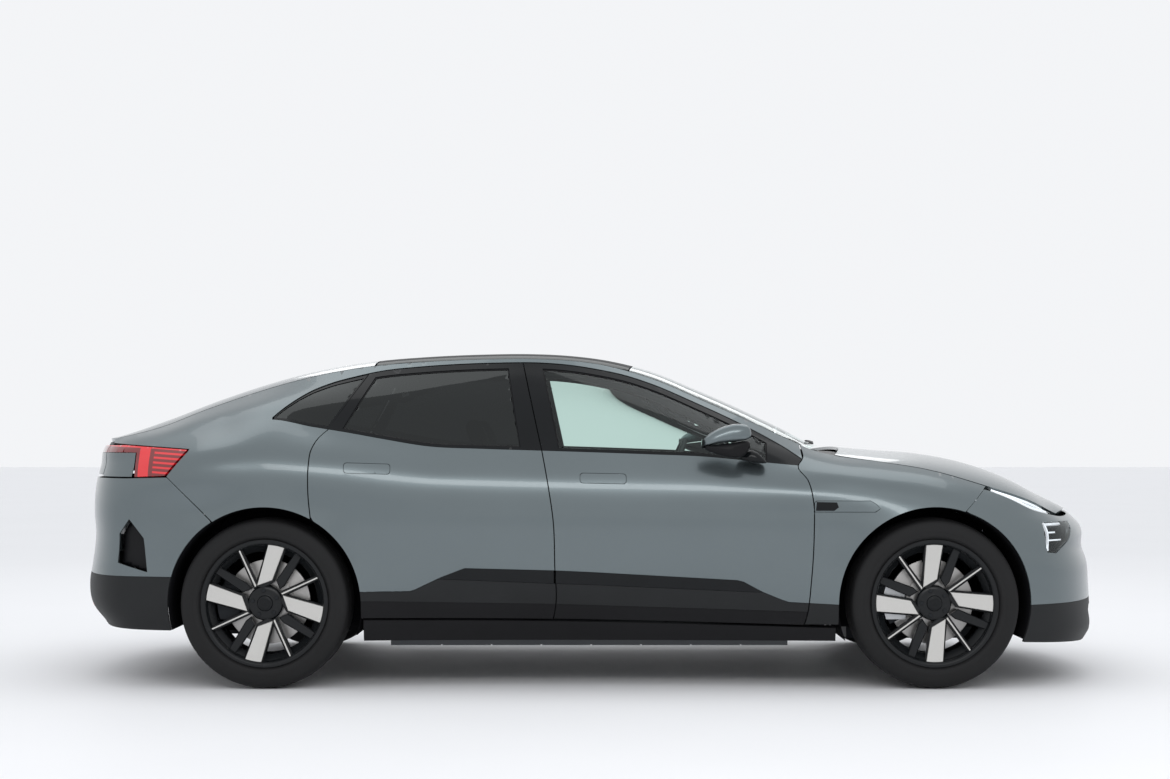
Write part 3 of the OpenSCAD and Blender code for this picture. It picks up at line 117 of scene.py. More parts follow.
class Finish:
    """A material made of nodes."""

    def __init__(self, name, colour):
        self.material = bpy.data.materials.new(name)
        self.material.diffuse_color = (*colour, 1)
        self.material.use_nodes = True
        self.tree = self.material.node_tree
        self.tree.nodes.clear()
        self.colour = colour

    def node(self, kind, settings=None, sockets=None, out=0):
        made = self.tree.nodes.new(kind)
        for key, value in (settings or {}).items():
            setattr(made, key, value)
        for key, value in (sockets or {}).items():
            if isinstance(value, Level):
                self.tree.links.new(value.socket, made.inputs[key])
            else:
                made.inputs[key].default_value = value
        return Level(self, made.outputs[out])

    def place(self):
        return self.node("ShaderNodeTexCoord", out="Object")

    def axis(self, letter):
        return self.node("ShaderNodeSeparateXYZ", sockets={0: self.place()}, out=letter)

    def noise(self, scale, detail=3, rough=0.5, stretch=(1, 1, 1)):
        spot = self.node("ShaderNodeMapping", sockets={"Vector": self.place(), "Scale": stretch})
        return self.node("ShaderNodeTexNoise", sockets={
            "Vector": spot, "Scale": scale, "Detail": detail, "Roughness": rough})

    def cells(self, scale, out="Distance", stretch=(1, 1, 1)):
        spot = self.node("ShaderNodeMapping", sockets={"Vector": self.place(), "Scale": stretch})
        return self.node("ShaderNodeTexVoronoi", sockets={"Vector": spot, "Scale": scale}, out=out)

    def blend(self, share, a, b):
        return self.node("ShaderNodeMix", {"data_type": "RGBA"}, {0: share, 6: a, 7: b}, out=2)

    def shade(self, share, amount, colour=None):
        """The colour, varied from darker to lighter by a share."""
        c = colour or self.colour
        dark = (*[v * (1 - amount) for v in c], 1)
        light = (*[min(1, v * (1 + amount)) for v in c], 1)
        return self.blend(share, dark, light)

    def bump(self, height, strength, distance):
        return self.node("ShaderNodeBump", sockets={
            "Height": height, "Strength": strength, "Distance": distance})

    def body(self, **sockets):
        named = {key.replace("_", " "): value for key, value in sockets.items()}
        return self.node("ShaderNodeBsdfPrincipled", sockets=named)

    def done(self, surface):
        self.node_out = self.tree.nodes.new("ShaderNodeOutputMaterial")
        self.tree.links.new(surface.socket, self.node_out.inputs["Surface"])
        return self.material


print("shader helpers ready")

# %% [markdown]
# ## Finishes
# The paint is grey with a cool green cast: metal flakes under a clear coat. Plastics have
# a fine grain, the glossy trims almost none, and rubber is matt with dust in its pores.

# %% Paint and plastics
def paint_finish():
    f = Finish("body_paint", (0.135, 0.163, 0.172))
    flake = f.cells(2600, "Color")
    hue = f.node("ShaderNodeSeparateColor", sockets={0: flake})
    sparkle = f.bump(hue, 0.05, 0.0002)
    broad = f.noise(3, 2)
    return f.done(f.body(Base_Color=f.shade(broad * 0.3 + hue * 0.7, 0.12), Metallic=0.8,
                         Roughness=broad * 0.05 + 0.27, Coat_Weight=0.6, Coat_Roughness=0.03,
                         Normal=sparkle))


def plastic_finish(name, colour, rough, grain, depth, shine=0.3):
    f = Finish(name, colour)
    pores = f.cells(grain)
    broad = f.noise(6, 3)
    return f.done(f.body(Base_Color=f.shade(broad, 0.18), Roughness=broad * 0.12 + (rough - 0.06),
                         Specular_IOR_Level=shine, Normal=f.bump(pores, depth, 0.0004)))


def metal_finish(name, colour, rough, stretch, depth=0.1):
    f = Finish(name, colour)
    lines = f.noise(160, 4, 0.6, stretch)
    broad = f.noise(5, 2)
    return f.done(f.body(
        Base_Color=f.shade(lines * 0.5 + broad * 0.5, 0.1), Metallic=1.0,
        Roughness=lines * 0.15 + (rough - 0.07), Normal=f.bump(lines, depth, 0.0003)))


paint = paint_finish()
gloss_black = plastic_finish("gloss_black", (0.006, 0.007, 0.008), 0.12, 900, 0.01, 0.2)
satin_black = plastic_finish("satin_black", (0.008, 0.008, 0.009), 0.42, 1400, 0.12, 0.15)
cladding = plastic_finish("cladding", (0.017, 0.018, 0.019), 0.5, 1100, 0.25, 0.18)
felt_black = plastic_finish("arch_felt", (0.005, 0.005, 0.006), 0.9, 500, 0.5, 0.1)
cabin_plastic = plastic_finish("cabin_plastic", (0.035, 0.037, 0.04), 0.55, 1300, 0.3)
cast_black = metal_finish("cast_black", (0.03, 0.032, 0.035), 0.55, (1, 1, 1), 0.3)
alloy_black = plastic_finish("alloy_black", (0.008, 0.009, 0.010), 0.25, 1500, 0.03, 0.25)
inner_metal = metal_finish("inner_metal", (0.05, 0.055, 0.058), 0.5, (1, 1, 1), 0.05)
bright_metal = metal_finish("bright_metal", (0.48, 0.49, 0.5), 0.38, (1, 1, 1), 0.15)
battery_case = metal_finish("battery_case", (0.07, 0.074, 0.078), 0.42, (1, 12, 1), 0.1)
print("opaque finishes made")


# %% Machined faces and brake discs
def turned_finish(name, colour, rough, spacing):
    """Metal cut on a lathe: fine rings round each wheel's own axle."""
    f = Finish(name, colour)
    x, z = f.axis("X"), f.axis("Z")
    from_rear = x - REAR_X * MM
    from_front = x - FRONT_X * MM
    front = x.above(0)
    along = from_front * front + from_rear * (1 - front)
    up = z - WHEEL_Z * MM
    far = (along * along + up * up).maths("SQRT", along * along + up * up)
    rings = (far * spacing).wave()
    return f.done(f.body(Base_Color=f.shade(rings * 0.5 + 0.5, 0.06), Metallic=1.0,
                         Roughness=rings * 0.03 + rough, Normal=f.bump(rings, 0.08, 0.0002)))


machined = turned_finish("machined_alloy", (0.6, 0.59, 0.565), 0.24, 9000)
disc_metal = turned_finish("disc_metal", (0.42, 0.41, 0.4), 0.34, 5000)


# %% Rubber
def rubber_finish():
    f = Finish("tyre_rubber", (0.008, 0.008, 0.0085))
    pores = f.cells(900)
    dust = f.noise(9, 4)
    return f.done(f.body(Base_Color=f.shade(dust, 0.35), Roughness=dust * 0.12 + 0.6,
                         Specular_IOR_Level=0.28, Normal=f.bump(pores, 0.2, 0.0004)))


rubber = rubber_finish()

# %% [markdown]
# Glass lets the light through and mirrors it at a slant. A Mix Shader between a tinted
# Transparent and a glossy coat does both without noise, and Fresnel sets the share.


# %% Glass and lamps
def glass_finish(name, tint, index=1.5, mirror=1.0):
    f = Finish(name, tint)
    through = f.node("ShaderNodeBsdfTransparent", sockets={"Color": (*tint, 1)})
    streaks = f.noise(2.5, 3)
    gloss = f.body(Base_Color=(0.85, 0.9, 0.9, 1), Metallic=1.0, Roughness=streaks * 0.02 + 0.01)
    share = f.node("ShaderNodeFresnel", sockets={"IOR": index})
    return f.done(f.node("ShaderNodeMixShader", sockets={0: share * mirror, 1: through, 2: gloss}))


clear_glass = glass_finish("glazing_clear", (0.74, 0.86, 0.82))
dark_glass = glass_finish("glazing_dark", (0.055, 0.06, 0.06))
roof_dark = glass_finish("roof_glazing", (0.02, 0.022, 0.022), mirror=0.22)
lamp_cover = glass_finish("lamp_cover", (0.93, 0.95, 0.96), 1.45)


def lamp_finish(name, colour, glow):
    f = Finish(name, colour)
    ribs = (f.axis("Z") * 1900).wave()
    return f.done(f.body(Base_Color=f.shade(ribs * 0.5 + 0.5, 0.08), Roughness=ribs * 0.04 + 0.2,
                         Emission_Color=(*colour, 1), Emission_Strength=glow, Coat_Weight=1.0))


light_white = lamp_finish("lamp_white", (0.92, 0.95, 1.0), 0.55)
# The rear reflectors are no lamps: their red glow is painted light, standing in for the light that
# a reflector sends back.
reflector_painted_glow = lamp_finish("reflector_red_painted_glow", (0.85, 0.02, 0.03), 0.6)


def tail_lamp_finish():
    """Dark red with bright stripes that lie along the lamp."""
    f = Finish("tail_lamp_red", (0.3, 0.006, 0.01))
    x, z = f.axis("X"), f.axis("Z")
    slanted = z + x * 0.07
    stripe = (slanted * 46).fraction().below(0.42)
    front = x.above(-1.975)
    column = x.below(-1.995) * x.above(-2.045)
    top = (z + x * 0.045).above(0.985)
    bright = (stripe * front).maths("MAXIMUM", stripe * front, column)
    bright = bright.maths("MAXIMUM", bright, top)
    colour = f.blend(bright, (0.16, 0.004, 0.006, 1), (0.6, 0.008, 0.014, 1))
    glow = f.blend(bright, (0.06, 0.0, 0.001, 1), (0.85, 0.02, 0.03, 1))
    return f.done(f.body(Base_Color=colour, Roughness=f.noise(40, 2) * 0.05 + 0.12,
                         Emission_Color=glow, Emission_Strength=0.12,
                         Coat_Weight=1.0, Coat_Roughness=0.02))


tail_red = tail_lamp_finish()
print("glass and lamp finishes made")


# %% Seat covers
def cover_finish():
    f = Finish("seat_cover", (0.075, 0.078, 0.085))
    grain = f.cells(420)
    broad = f.noise(7, 3)
    return f.done(f.body(Base_Color=f.shade(broad, 0.15), Roughness=broad * 0.1 + 0.5,
                         Normal=f.bump(grain, 0.35, 0.0006)))


seat_cover = cover_finish()


# %% Studio
def floor_finish():
    f = Finish("studio_floor", (0.84, 0.84, 0.85))
    broad = f.noise(0.6, 3)
    return f.done(f.body(Base_Color=f.shade(broad, 0.02), Roughness=broad * 0.1 + 0.5,
                         Specular_IOR_Level=0.1))


floor_mesh = bpy.data.meshes.new("studio_floor")
reach = 60.0  # metres, far enough to meet the horizon
floor_mesh.from_pydata([(-reach, -reach, 0), (reach, -reach, 0), (reach, reach, 0),
                        (-reach, reach, 0)], [], [(0, 1, 2, 3)])
studio_floor = bpy.data.objects.new("studio_floor", floor_mesh)
bpy.context.collection.objects.link(studio_floor)
floor_mesh.materials.append(floor_finish())

world = bpy.data.worlds.new("studio")
bpy.context.scene.world = world
world.use_nodes = True
nodes, links = world.node_tree.nodes, world.node_tree.links
nodes.clear()
path = nodes.new("ShaderNodeLightPath")
seen = path.outputs["Is Camera Ray"]
for ray in ("Is Transmission Ray", "Is Glossy Ray"):
    either = nodes.new("ShaderNodeMath")
    either.operation = "MAXIMUM"
    links.new(seen, either.inputs[0])
    links.new(path.outputs[ray], either.inputs[1])
    seen = either.outputs[0]
pale = nodes.new("ShaderNodeBackground")
pale.inputs["Color"].default_value = (0.90, 0.91, 0.93, 1)
plain = nodes.new("ShaderNodeBackground")
plain.inputs["Color"].default_value = (0.95, 0.97, 1.0, 1)
choice = nodes.new("ShaderNodeMixShader")
links.new(seen, choice.inputs[0])
links.new(plain.outputs[0], choice.inputs[1])
links.new(pale.outputs[0], choice.inputs[2])
world_out = nodes.new("ShaderNodeOutputWorld")
links.new(choice.outputs[0], world_out.inputs["Surface"])


def soft_light(name, place, aim, size, power):
    data = bpy.data.lights.new(name, "AREA")
    data.shape = "RECTANGLE"
    data.size, data.size_y = size
    data.energy = power
    lamp = bpy.data.objects.new(name, data)
    lamp.location = place
    lamp.rotation_euler = (Vector(aim) - Vector(place)).to_track_quat("-Z", "Y").to_euler()
    bpy.context.collection.objects.link(lamp)


soft_light("ceiling_light", (0, 0, 5.2), (0, 0, 0), (7.0, 2.6), 60)
soft_light("right_light", (0.5, -6.5, 3.8), (0, 0, 0.7), (6.0, 1.2), 80)
soft_light("left_light", (0.0, 6.5, 3.8), (0, 0, 0.7), (6.0, 1.2), 40)
print("studio ready")

# %% [markdown]
# ## The body's surface
# The CAD source shapes the whole body with a few curves: lines in side view, half widths
# along them, and the plan view's rounding at the tail and nose. The same curves are set
# down here, so that panels can be cut from the true surface as finely as light needs.


# %% Curves
def smooth(knots, x):
    """Cubic Hermite curve through [place, value] knots, straight past its ends."""
    k = np.asarray(knots, float)
    at, value = k[:, 0], k[:, 1]
    h = np.diff(at)
    rise = np.diff(value) / h
    lean = np.concatenate([[rise[0]], (rise[:-1] * h[1:] + rise[1:] * h[:-1]) / (h[:-1] + h[1:]),
                           [rise[-1]]])
    x = np.asarray(x, float)
    i = np.clip(np.searchsorted(at, x, side="right") - 1, 0, len(h) - 1)
    t = np.clip((x - at[i]) / h[i], 0, 1)
    s, u = t * t * (3 - 2 * t), t * (1 - t)
    bow = h[i] * u * (lean[i] * (1 - t) - lean[i + 1] * t)
    inner = value[i] + (value[i + 1] - value[i]) * s + bow
    before = np.where(x < at[0], lean[0] * (x - at[0]), 0)
    return inner + before + np.where(x > at[-1], lean[-1] * (x - at[-1]), 0)


def smooth_each(at, value, x):
    """The same curve where every point x has knots of its own (at and value are rows)."""
    h = np.diff(at, axis=1)
    rise = np.diff(value, axis=1) / h
    mid = (rise[:, :-1] * h[:, 1:] + rise[:, 1:] * h[:, :-1]) / (h[:, :-1] + h[:, 1:])
    lean = np.concatenate([rise[:, :1], mid, rise[:, -1:]], axis=1)
    row = np.arange(len(x))
    i = np.clip((x[:, None] >= at).sum(1) - 1, 0, h.shape[1] - 1)
    t = np.clip((x - at[row, i]) / h[row, i], 0, 1)
    s, u = t * t * (3 - 2 * t), t * (1 - t)
    y = value[row, i] + (value[row, i + 1] - value[row, i]) * s
    y = y + h[row, i] * u * (lean[row, i] * (1 - t) - lean[row, i + 1] * t)
    y = y + np.where(x < at[:, 0], lean[:, 0] * (x - at[:, 0]), 0)
    return y + np.where(x > at[:, -1], lean[:, -1] * (x - at[:, -1]), 0)


TOP_LINE = [[-2322, 1116], [-2208, 1146], [-2008, 1226], [-1809, 1306], [-1609, 1376],
            [-1409, 1434], [-1210, 1476], [-1010, 1503], [-810, 1519], [-510, 1532], [-310, 1534],
            [-110, 1525], [91, 1499], [291, 1449], [490, 1369], [690, 1282], [890, 1187],
            [1094, 1088], [1200, 1078], [1389, 1062], [1589, 1047], [1788, 1011], [1888, 981],
            [1988, 941], [2087, 891], [2187, 842], [2286, 787], [2366, 722]]
EDGE_LINE = [[-2320, 1098], [-2200, 1118], [-2000, 1168], [-1800, 1250], [-1600, 1322],
             [-1400, 1383], [-1200, 1428], [-1000, 1458], [-800, 1474], [-500, 1487], [-300, 1489],
             [-100, 1480], [50, 1460], [150, 1436], [300, 1388], [500, 1300], [700, 1210],
             [900, 1116], [1000, 1070], [1100, 1043], [1300, 1014], [1531, 975], [1790, 900],
             [2000, 832], [2136, 772], [2300, 700]]
BELT_LINE = [[-2320, 1080], [-2000, 1100], [-1700, 1160], [-1455, 1206], [-1276, 1174],
             [-1110, 1147], [-960, 1120], [-734, 1084], [-508, 1074], [-215, 1065], [259, 1049],
             [485, 1040], [782, 1012], [936, 998], [1100, 985], [1400, 935], [1531, 912],
             [1790, 845], [2136, 722], [2300, 640]]
SHOULDER_LINE = [[-2320, 1000], [-2000, 1040], [-1732, 1082], [-1468, 1078], [-1263, 1050],
                 [-726, 955], [-235, 925], [300, 908], [961, 895], [1237, 868], [1416, 835],
                 [1531, 815], [1790, 760], [2136, 650], [2300, 580]]
GLASS_TOP = [[-1455, 1214], [-1427, 1242], [-1372, 1288], [-1303, 1334], [-1211, 1374],
             [-1096, 1406], [-981, 1431], [-796, 1451], [-611, 1463], [-427, 1469], [-242, 1469],
             [-104, 1458], [35, 1436], [150, 1411], [273, 1371], [476, 1283], [653, 1200],
             [800, 1122], [881, 1073], [950, 1024]]
EDGE_Y = [[-2320, 1000], [-2200, 860], [-2000, 716], [-1800, 655], [-1600, 622], [-1400, 608],
          [-1200, 615], [-1000, 630], [-500, 655], [0, 655], [300, 645], [500, 665], [700, 697],
          [900, 737], [1000, 760], [1100, 782], [1400, 824], [1531, 840], [1790, 866], [2136, 880]]
BELT_Y = [[-2320, 930], [-2000, 872], [-1700, 850], [-1425, 852], [-1110, 882], [-734, 905],
          [-215, 912], [485, 914], [936, 905], [1100, 908], [1400, 928], [1531, 934], [1790, 930],
          [2136, 925]]
SHOULDER_Y = [[-2320, 930], [-2000, 925], [-1732, 942], [-1468, 962], [-1263, 968], [-726, 978],
              [-235, 981], [300, 981], [961, 980], [1416, 984], [1531, 986], [1790, 975],
              [2136, 950]]
WAIST_Y = [[-2320, 940], [-2000, 960], [-1732, 992], [-1468, 1004], [-1263, 1001], [-726, 997],
           [-100, 996], [600, 994], [961, 993], [1237, 998], [1531, 1003], [1790, 990], [2136, 960]]
DOOR_Y = [[-2320, 940], [-2000, 955], [-1732, 985], [-1468, 997], [-1100, 990], [-100, 988],
          [961, 988], [1237, 990], [1531, 996], [1790, 986], [2136, 955]]
CREASE_Y = [[-2320, 930], [-2000, 945], [-1732, 975], [-1468, 988], [-1100, 975], [-900, 965],
            [-100, 962], [800, 964], [1100, 976], [1531, 988], [1790, 980], [2136, 950]]
SILL_Y = [[-2320, 900], [-1732, 955], [-1468, 960], [-1100, 930], [-800, 906], [600, 906],
          [1100, 935], [1531, 955], [1790, 950], [2136, 930]]
TAIL_LINE = [[165, -2290], [267, -2330], [340, -2394], [453, -2415], [533, -2402], [682, -2385],
             [777, -2393], [934, -2381], [1000, -2362], [1074, -2352], [1100, -2330]]
NOSE_LINE = [[165, 2380], [236, 2420], [325, 2415], [439, 2409], [554, 2397], [598, 2380],
             [718, 2368], [760, 2325], [790, 2284]]
TAIL_START, NOSE_START, TAIL_POWER, NOSE_POWER = -1700.0, 1640.0, 5.0, 3.4
DECK_END, BONNET_END, ROOF_END = -2200.0, 2136.0, -1010.0
print("surface lines:", len(TOP_LINE) + len(EDGE_LINE) + len(BELT_LINE), "knots in three of them")


# %% Surface
def raw_y(x, z):
    """Half width of the body before the plan view's rounding."""
    x, z = np.broadcast_arrays(np.asarray(x, float), np.asarray(z, float))
    shape = x.shape
    x, z = x.ravel(), z.ravel()
    x = np.clip(x, -2330, 2290)
    zs, zb, ze = smooth(SHOULDER_LINE, x), smooth(BELT_LINE, x), smooth(EDGE_LINE, x)
    ys, yb, ye = smooth(SHOULDER_Y, x), smooth(BELT_Y, x), smooth(EDGE_Y, x)
    low = np.minimum(780, zs - 110)
    at = np.stack([np.full(x.shape, 205.0), np.minimum(420, low - 220), np.minimum(620, low - 110),
                   low, zs, zb, zb + (ze - zb) * 0.55, ze], 1)
    value = np.stack([smooth(SILL_Y, x), smooth(CREASE_Y, x), smooth(DOOR_Y, x), smooth(WAIST_Y, x),
                      ys, yb, yb + (ye - yb) * 0.42, ye], 1)
    d = np.minimum(np.hypot(x - FRONT_X, z - WHEEL_Z), np.hypot(x - REAR_X, z - WHEEL_Z))
    q = np.maximum(0, 1 - np.maximum(0, d - ARCH_R) / 120)
    return (smooth_each(at, value, z) + 7 * q * q).reshape(shape)


def tail_x(z):
    return smooth(TAIL_LINE, np.minimum(z, 1100))


def nose_x(z):
    return smooth(NOSE_LINE, np.minimum(z, 790))


def side_y(x, z):
    x, z = np.asarray(x, float), np.asarray(z, float)
    t = np.clip((TAIL_START - x) / (TAIL_START - tail_x(z)), 0, 1)
    n = np.clip((x - NOSE_START) / (nose_x(z) - NOSE_START), 0, 1)
    return raw_y(x, z) * np.sqrt(1 - t ** TAIL_POWER) * np.sqrt(1 - n ** NOSE_POWER)


edge_z = partial(smooth, EDGE_LINE)


def edge_half(x):
    q = np.clip(x, DECK_END, BONNET_END)
    return side_y(q, edge_z(q))


def top_z(x, y):
    r = np.minimum(1.1, np.abs(y) / edge_half(x))
    crown = smooth(TOP_LINE, x)
    return crown - (crown - edge_z(x)) * (0.72 * r ** 2 + 0.28 * r ** 8)


def end_point(nose, a, z):
    """Point of the rounded nose or tail at angle a in degrees, from side (0) to middle (90)."""
    a = np.radians(a)
    start, end, power = (NOSE_START, nose_x(z),
                         NOSE_POWER) if nose else (TAIL_START, tail_x(z), TAIL_POWER)
    x = start + (end - start) * np.abs(np.sin(a)) ** (2 / power)
    return x, raw_y(x, z) * np.cos(a), z


def end_angle(nose, x, z):
    if nose:
        q = np.clip((x - NOSE_START) / (nose_x(z) - NOSE_START), 0, 1)
        return np.degrees(np.arcsin(q ** (NOSE_POWER / 2)))
    q = np.clip((TAIL_START - x) / (TAIL_START - tail_x(z)), 0, 1)
    return np.degrees(np.arcsin(q ** (TAIL_POWER / 2)))


print("half width at the rear axle, mm:", float(side_y(REAR_X, 800.0)))

# %% [markdown]
# A panel is an outline on that surface. The outline lies in a flat map, such as side view,
# and a constrained Delaunay net fills it with even triangles and leaves its holes open.
# The net is then laid on the surface, given its thickness and a rolled edge.


# %% Nets and panels
def even(points, step=14.0, closed=True):
    """A polyline with no edge longer than step, and no doubled points."""
    p = np.asarray(points, float)
    out = []
    for i in range(len(p) if closed else len(p) - 1):
        a, b = p[i], p[(i + 1) % len(p)]
        far = np.hypot(*(b - a))
        if far < 0.8:
            continue
        n = max(1, int(math.ceil(far / step)))
        out += [a + (b - a) * k / n for k in range(n)]
    if not closed:
        out.append(p[-1])
    return np.array(out)


def within(loop, points):
    """Which points lie inside a closed loop."""
    a, b = loop, np.roll(loop, -1, 0)
    x, y = points[:, :1], points[:, 1:]
    crosses = (a[:, 1] > y) != (b[:, 1] > y)
    with np.errstate(divide="ignore", invalid="ignore"):
        at = a[:, 0] + (y - a[:, 1]) * (b[:, 0] - a[:, 0]) / (b[:, 1] - a[:, 1])
    return (crosses & (x < at)).sum(1) % 2 == 1


def net(outline, holes=(), step=16.0):
    """Triangles that fill an outline: their points and their corners."""
    loops = [even(outline, step * 0.85)] + [even(h, step * 0.6) for h in holes]
    rim = np.concatenate(loops)
    lo, hi = loops[0].min(0), loops[0].max(0)
    rows = np.arange(lo[1] + step / 2, hi[1], step * 0.87)
    grid = [np.zeros((0, 2))]
    for k, z in enumerate(rows):
        along = np.arange(lo[0] + (step / 2 if k % 2 else 0), hi[0], step)
        grid.append(np.stack([along, np.full(len(along), z)], 1))
    grid = np.concatenate(grid)
    keep = within(loops[0], grid)
    for h in loops[1:]:
        keep &= ~within(h, grid)
    grid = grid[keep]
    near = [np.hypot(rim[:, 0] - p[0], rim[:, 1] - p[1]).min() for p in grid]
    grid = grid[np.array(near) > step * 0.55] if len(grid) else grid
    points = np.concatenate([rim, grid])
    edges, at = [], 0
    for loop in loops:
        edges += [(at + k, at + (k + 1) % len(loop)) for k in range(len(loop))]
        at += len(loop)
    verts, _, faces, _, _, _ = geometry.delaunay_2d_cdt(
        [Vector(p) for p in points], edges, [], 0, 1e-3)
    verts = np.array([(v.x, v.y) for v in verts])
    faces = np.array([f for f in faces if len(f) == 3])
    mid = verts[faces].mean(1)
    keep = within(loops[0], mid)
    for h in loops[1:]:
        keep &= ~within(h, mid)
    return verts, faces[keep]


def make(name, points, faces, finish, body, slot, replaced=()):
    """A piece from points in millimetres, on a body, with its finish."""
    mesh = bpy.data.meshes.new(name)
    mesh.from_pydata((np.asarray(points) * MM).tolist(), [], [list(map(int, f)) for f in faces])
    mesh.validate()
    mesh.shade_smooth()
    for one in finish if isinstance(finish, (list, tuple)) else [finish]:
        mesh.materials.append(one)
    piece = bpy.data.objects.new(name, mesh)
    bpy.context.collection.objects.link(piece)
    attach(piece, body)
    if replaced:
        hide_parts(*replaced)
    return piece


def outward(points, faces, out):
    """Faces turned so that most look along out."""
    p = np.asarray(points)[np.asarray(faces)]
    n = np.cross(p[:, 1] - p[:, 0], p[:, 2] - p[:, 0])
    return faces if (n @ np.asarray(out, float)).sum() > 0 else faces[:, ::-1]


def press(piece, thick, roll=1.2, angle=50):
    """Thickness inwards and a rolled edge."""
    if thick:
        wall = piece.modifiers.new("thickness", "SOLIDIFY")
        wall.thickness = thick * MM
        wall.offset = -1
    if roll:
        edge = piece.modifiers.new("rolled_edge", "BEVEL")
        edge.width = roll * MM
        edge.segments = 2
        edge.limit_method = "ANGLE"
        edge.angle_limit = math.radians(angle)
        edge.harden_normals = True
    return piece


def on_side(flat, s, sink=0.0):
    x, z = flat[:, 0], flat[:, 1]
    y = side_y(x, z)
    if np.any(sink):
        nx = -(side_y(x + 3, z) - side_y(x - 3, z)) / 6
        nz = -(side_y(x, z + 3) - side_y(x, z - 3)) / 6
        far = np.sqrt(1 + nx ** 2 + nz ** 2)
        x, y, z = x - sink * nx / far, y - sink / far, z - sink * nz / far
    return np.stack([x, s * y, z], 1)


def on_top(flat, sink=0.0):
    x, y = flat[:, 0], flat[:, 1]
    return np.stack([x, y, top_z(x, y) - sink], 1)


class Wrap:
    """A flat map of the rounded nose or tail: u runs along the bumper in mm, 0 at the middle."""

    def __init__(self, nose, z):
        self.nose = nose
        share = np.linspace(0, 1, 400) ** 2
        self.angles = np.concatenate([45 * share, 90 - 45 * share[::-1]])
        x, y, _ = end_point(nose, self.angles, np.full(800, z))
        step = np.hypot(np.diff(x), np.diff(y))
        self.far = np.concatenate([[0], np.cumsum(step)])

    def u(self, a):
        return self.far[-1] - np.interp(a, self.angles, self.far)

    def spot(self, x, z):
        """How far round the bumper the point at x and height z lies."""
        return float(self.u(end_angle(self.nose, np.array([float(x)]), np.array([float(z)])))[0])

    def lay(self, flat, sink=0.0):
        u, z = flat[:, 0], flat[:, 1]
        a = np.interp(self.far[-1] - np.abs(u), self.far, self.angles)
        x, y, _ = end_point(self.nose, a, z)
        d = 0.4
        if np.any(sink):
            lo, hi = np.clip(a - d, 0, 90), np.clip(a + d, 0, 90)
            x0, y0, _ = end_point(self.nose, lo, z)
            x1, y1, _ = end_point(self.nose, hi, z)
            far = np.hypot(x1 - x0, y1 - y0)
            out = 1 if self.nose else -1
            x, y = x - sink * out * (y0 - y1) / far, y - sink * out * (x1 - x0) / far
        return np.stack([x, np.where(u < 0, -y, y), z], 1)


nose_map, tail_map = Wrap(True, 600.0), Wrap(False, 700.0)
nose_spot, tail_spot = nose_map.spot, tail_map.spot
print("nose half length, mm:", round(nose_map.far[-1]), "tail:", round(tail_map.far[-1]))

# %% [markdown]
# ## Shut lines
# The gaps between panels follow the same lines as in the CAD source. The lower doors are
# clad: the paint ends on one line, a glossy strip follows, then grained grey cladding.

# %% Lines in side view
GAP = 2.5
FRONT_SHUT = [[280, 947], [328, 961], [381, 968], [473, 976], [600, 985], [703, 988], [842, 985],
              [934, 964], [998, 927], [1024, 948.5], [1092, 951.5]]
MIDDLE_SHUT = [[300, -178], [386, -164], [534, -169], [756, -177], [900, -198], [1068, -230],
               [1250, -268], [1432, -312], [1480, -324]]
REAR_SHUT = [[763, -1258], [850, -1268], [920, -1271], [1000, -1270], [1072, -1262], [1120, -1238],
             [1170, -1187]]
DOOR_ARCH_TOP, BUMPER_ARCH_TOP = 763, 748  # heights where the rear arch leaves door and bumper
DOOR_LOW = [[-1035, 312], [-170, 306], [960, 280]]
PAINT_LOW = [[-1060, 434], [-810, 437], [-684, 497], [-573, 540], [-173, 530], [-12, 523],
             [664, 485], [756, 435], [871, 388], [1110, 376]]
STRIP_LOW = [[-684, 491], [-173, 471], [-12, 466], [756, 431]]
CLAD_LOW = [[-1060, 393], [-166, 379], [-12, 374], [1110, 339]]


def straight(knots, x):
    k = np.asarray(knots, float)
    return np.interp(x, k[:, 0], k[:, 1])


def arch(x, a, r=ARCH_R):
    a = np.radians(a)
    return np.stack([x + r * np.cos(a), WHEEL_Z + r * np.sin(a)], 1)


def arch_reach(z):
    """How far the arch reaches from its axle at height z; below the axle it runs straight down."""
    return np.sqrt(np.maximum(0, ARCH_R ** 2 - np.maximum(0, z - WHEEL_Z) ** 2))


def flat_line(line, x0, x1, shift=0.0, n=40):
    x = np.linspace(x0, x1, n)
    return np.stack([x, line(x) + shift], 1)


paint_low, strip_low, clad_low = (partial(straight, k) for k in (PAINT_LOW, STRIP_LOW, CLAD_LOW))
door_low, belt, glass_top = (partial(smooth, k) for k in (DOOR_LOW, BELT_LINE, GLASS_TOP))


def rear_edge(z):
    """The rear door's rear edge: round the wheel arch, then up the shut line."""
    z = np.asarray(z, float)
    return np.where(z < DOOR_ARCH_TOP, REAR_X + arch_reach(z), smooth(REAR_SHUT, z) + GAP)


def side_panel(name, outline, body, slot, finish, thick=3.5, holes=(), roll=1.2, replaced=(),
               step=16.0, sink=0.0):
    """The same panel on the left and right side. A name in replaced gets its side added."""
    flat, faces = net(outline, holes, step)
    made = []
    for side, s in SIDES:
        points = on_side(flat, s, sink)
        piece = make(f"{name}_{side}", points, outward(points, faces, (0, s, 0)), finish,
                     body.replace("SIDE", side), slot,
                     [n.replace("SIDE", side) for n in replaced if "SIDE" in n or s > 0])
        made.append(press(piece, thick, roll))
    return made


print("shut lines ready")

# %% [markdown]
# ## Doors
# Each door is its painted skin, the flush handle in a pocket, the cladding below and a
# thick inner body behind. The window frame and pillar covers are gloss black.


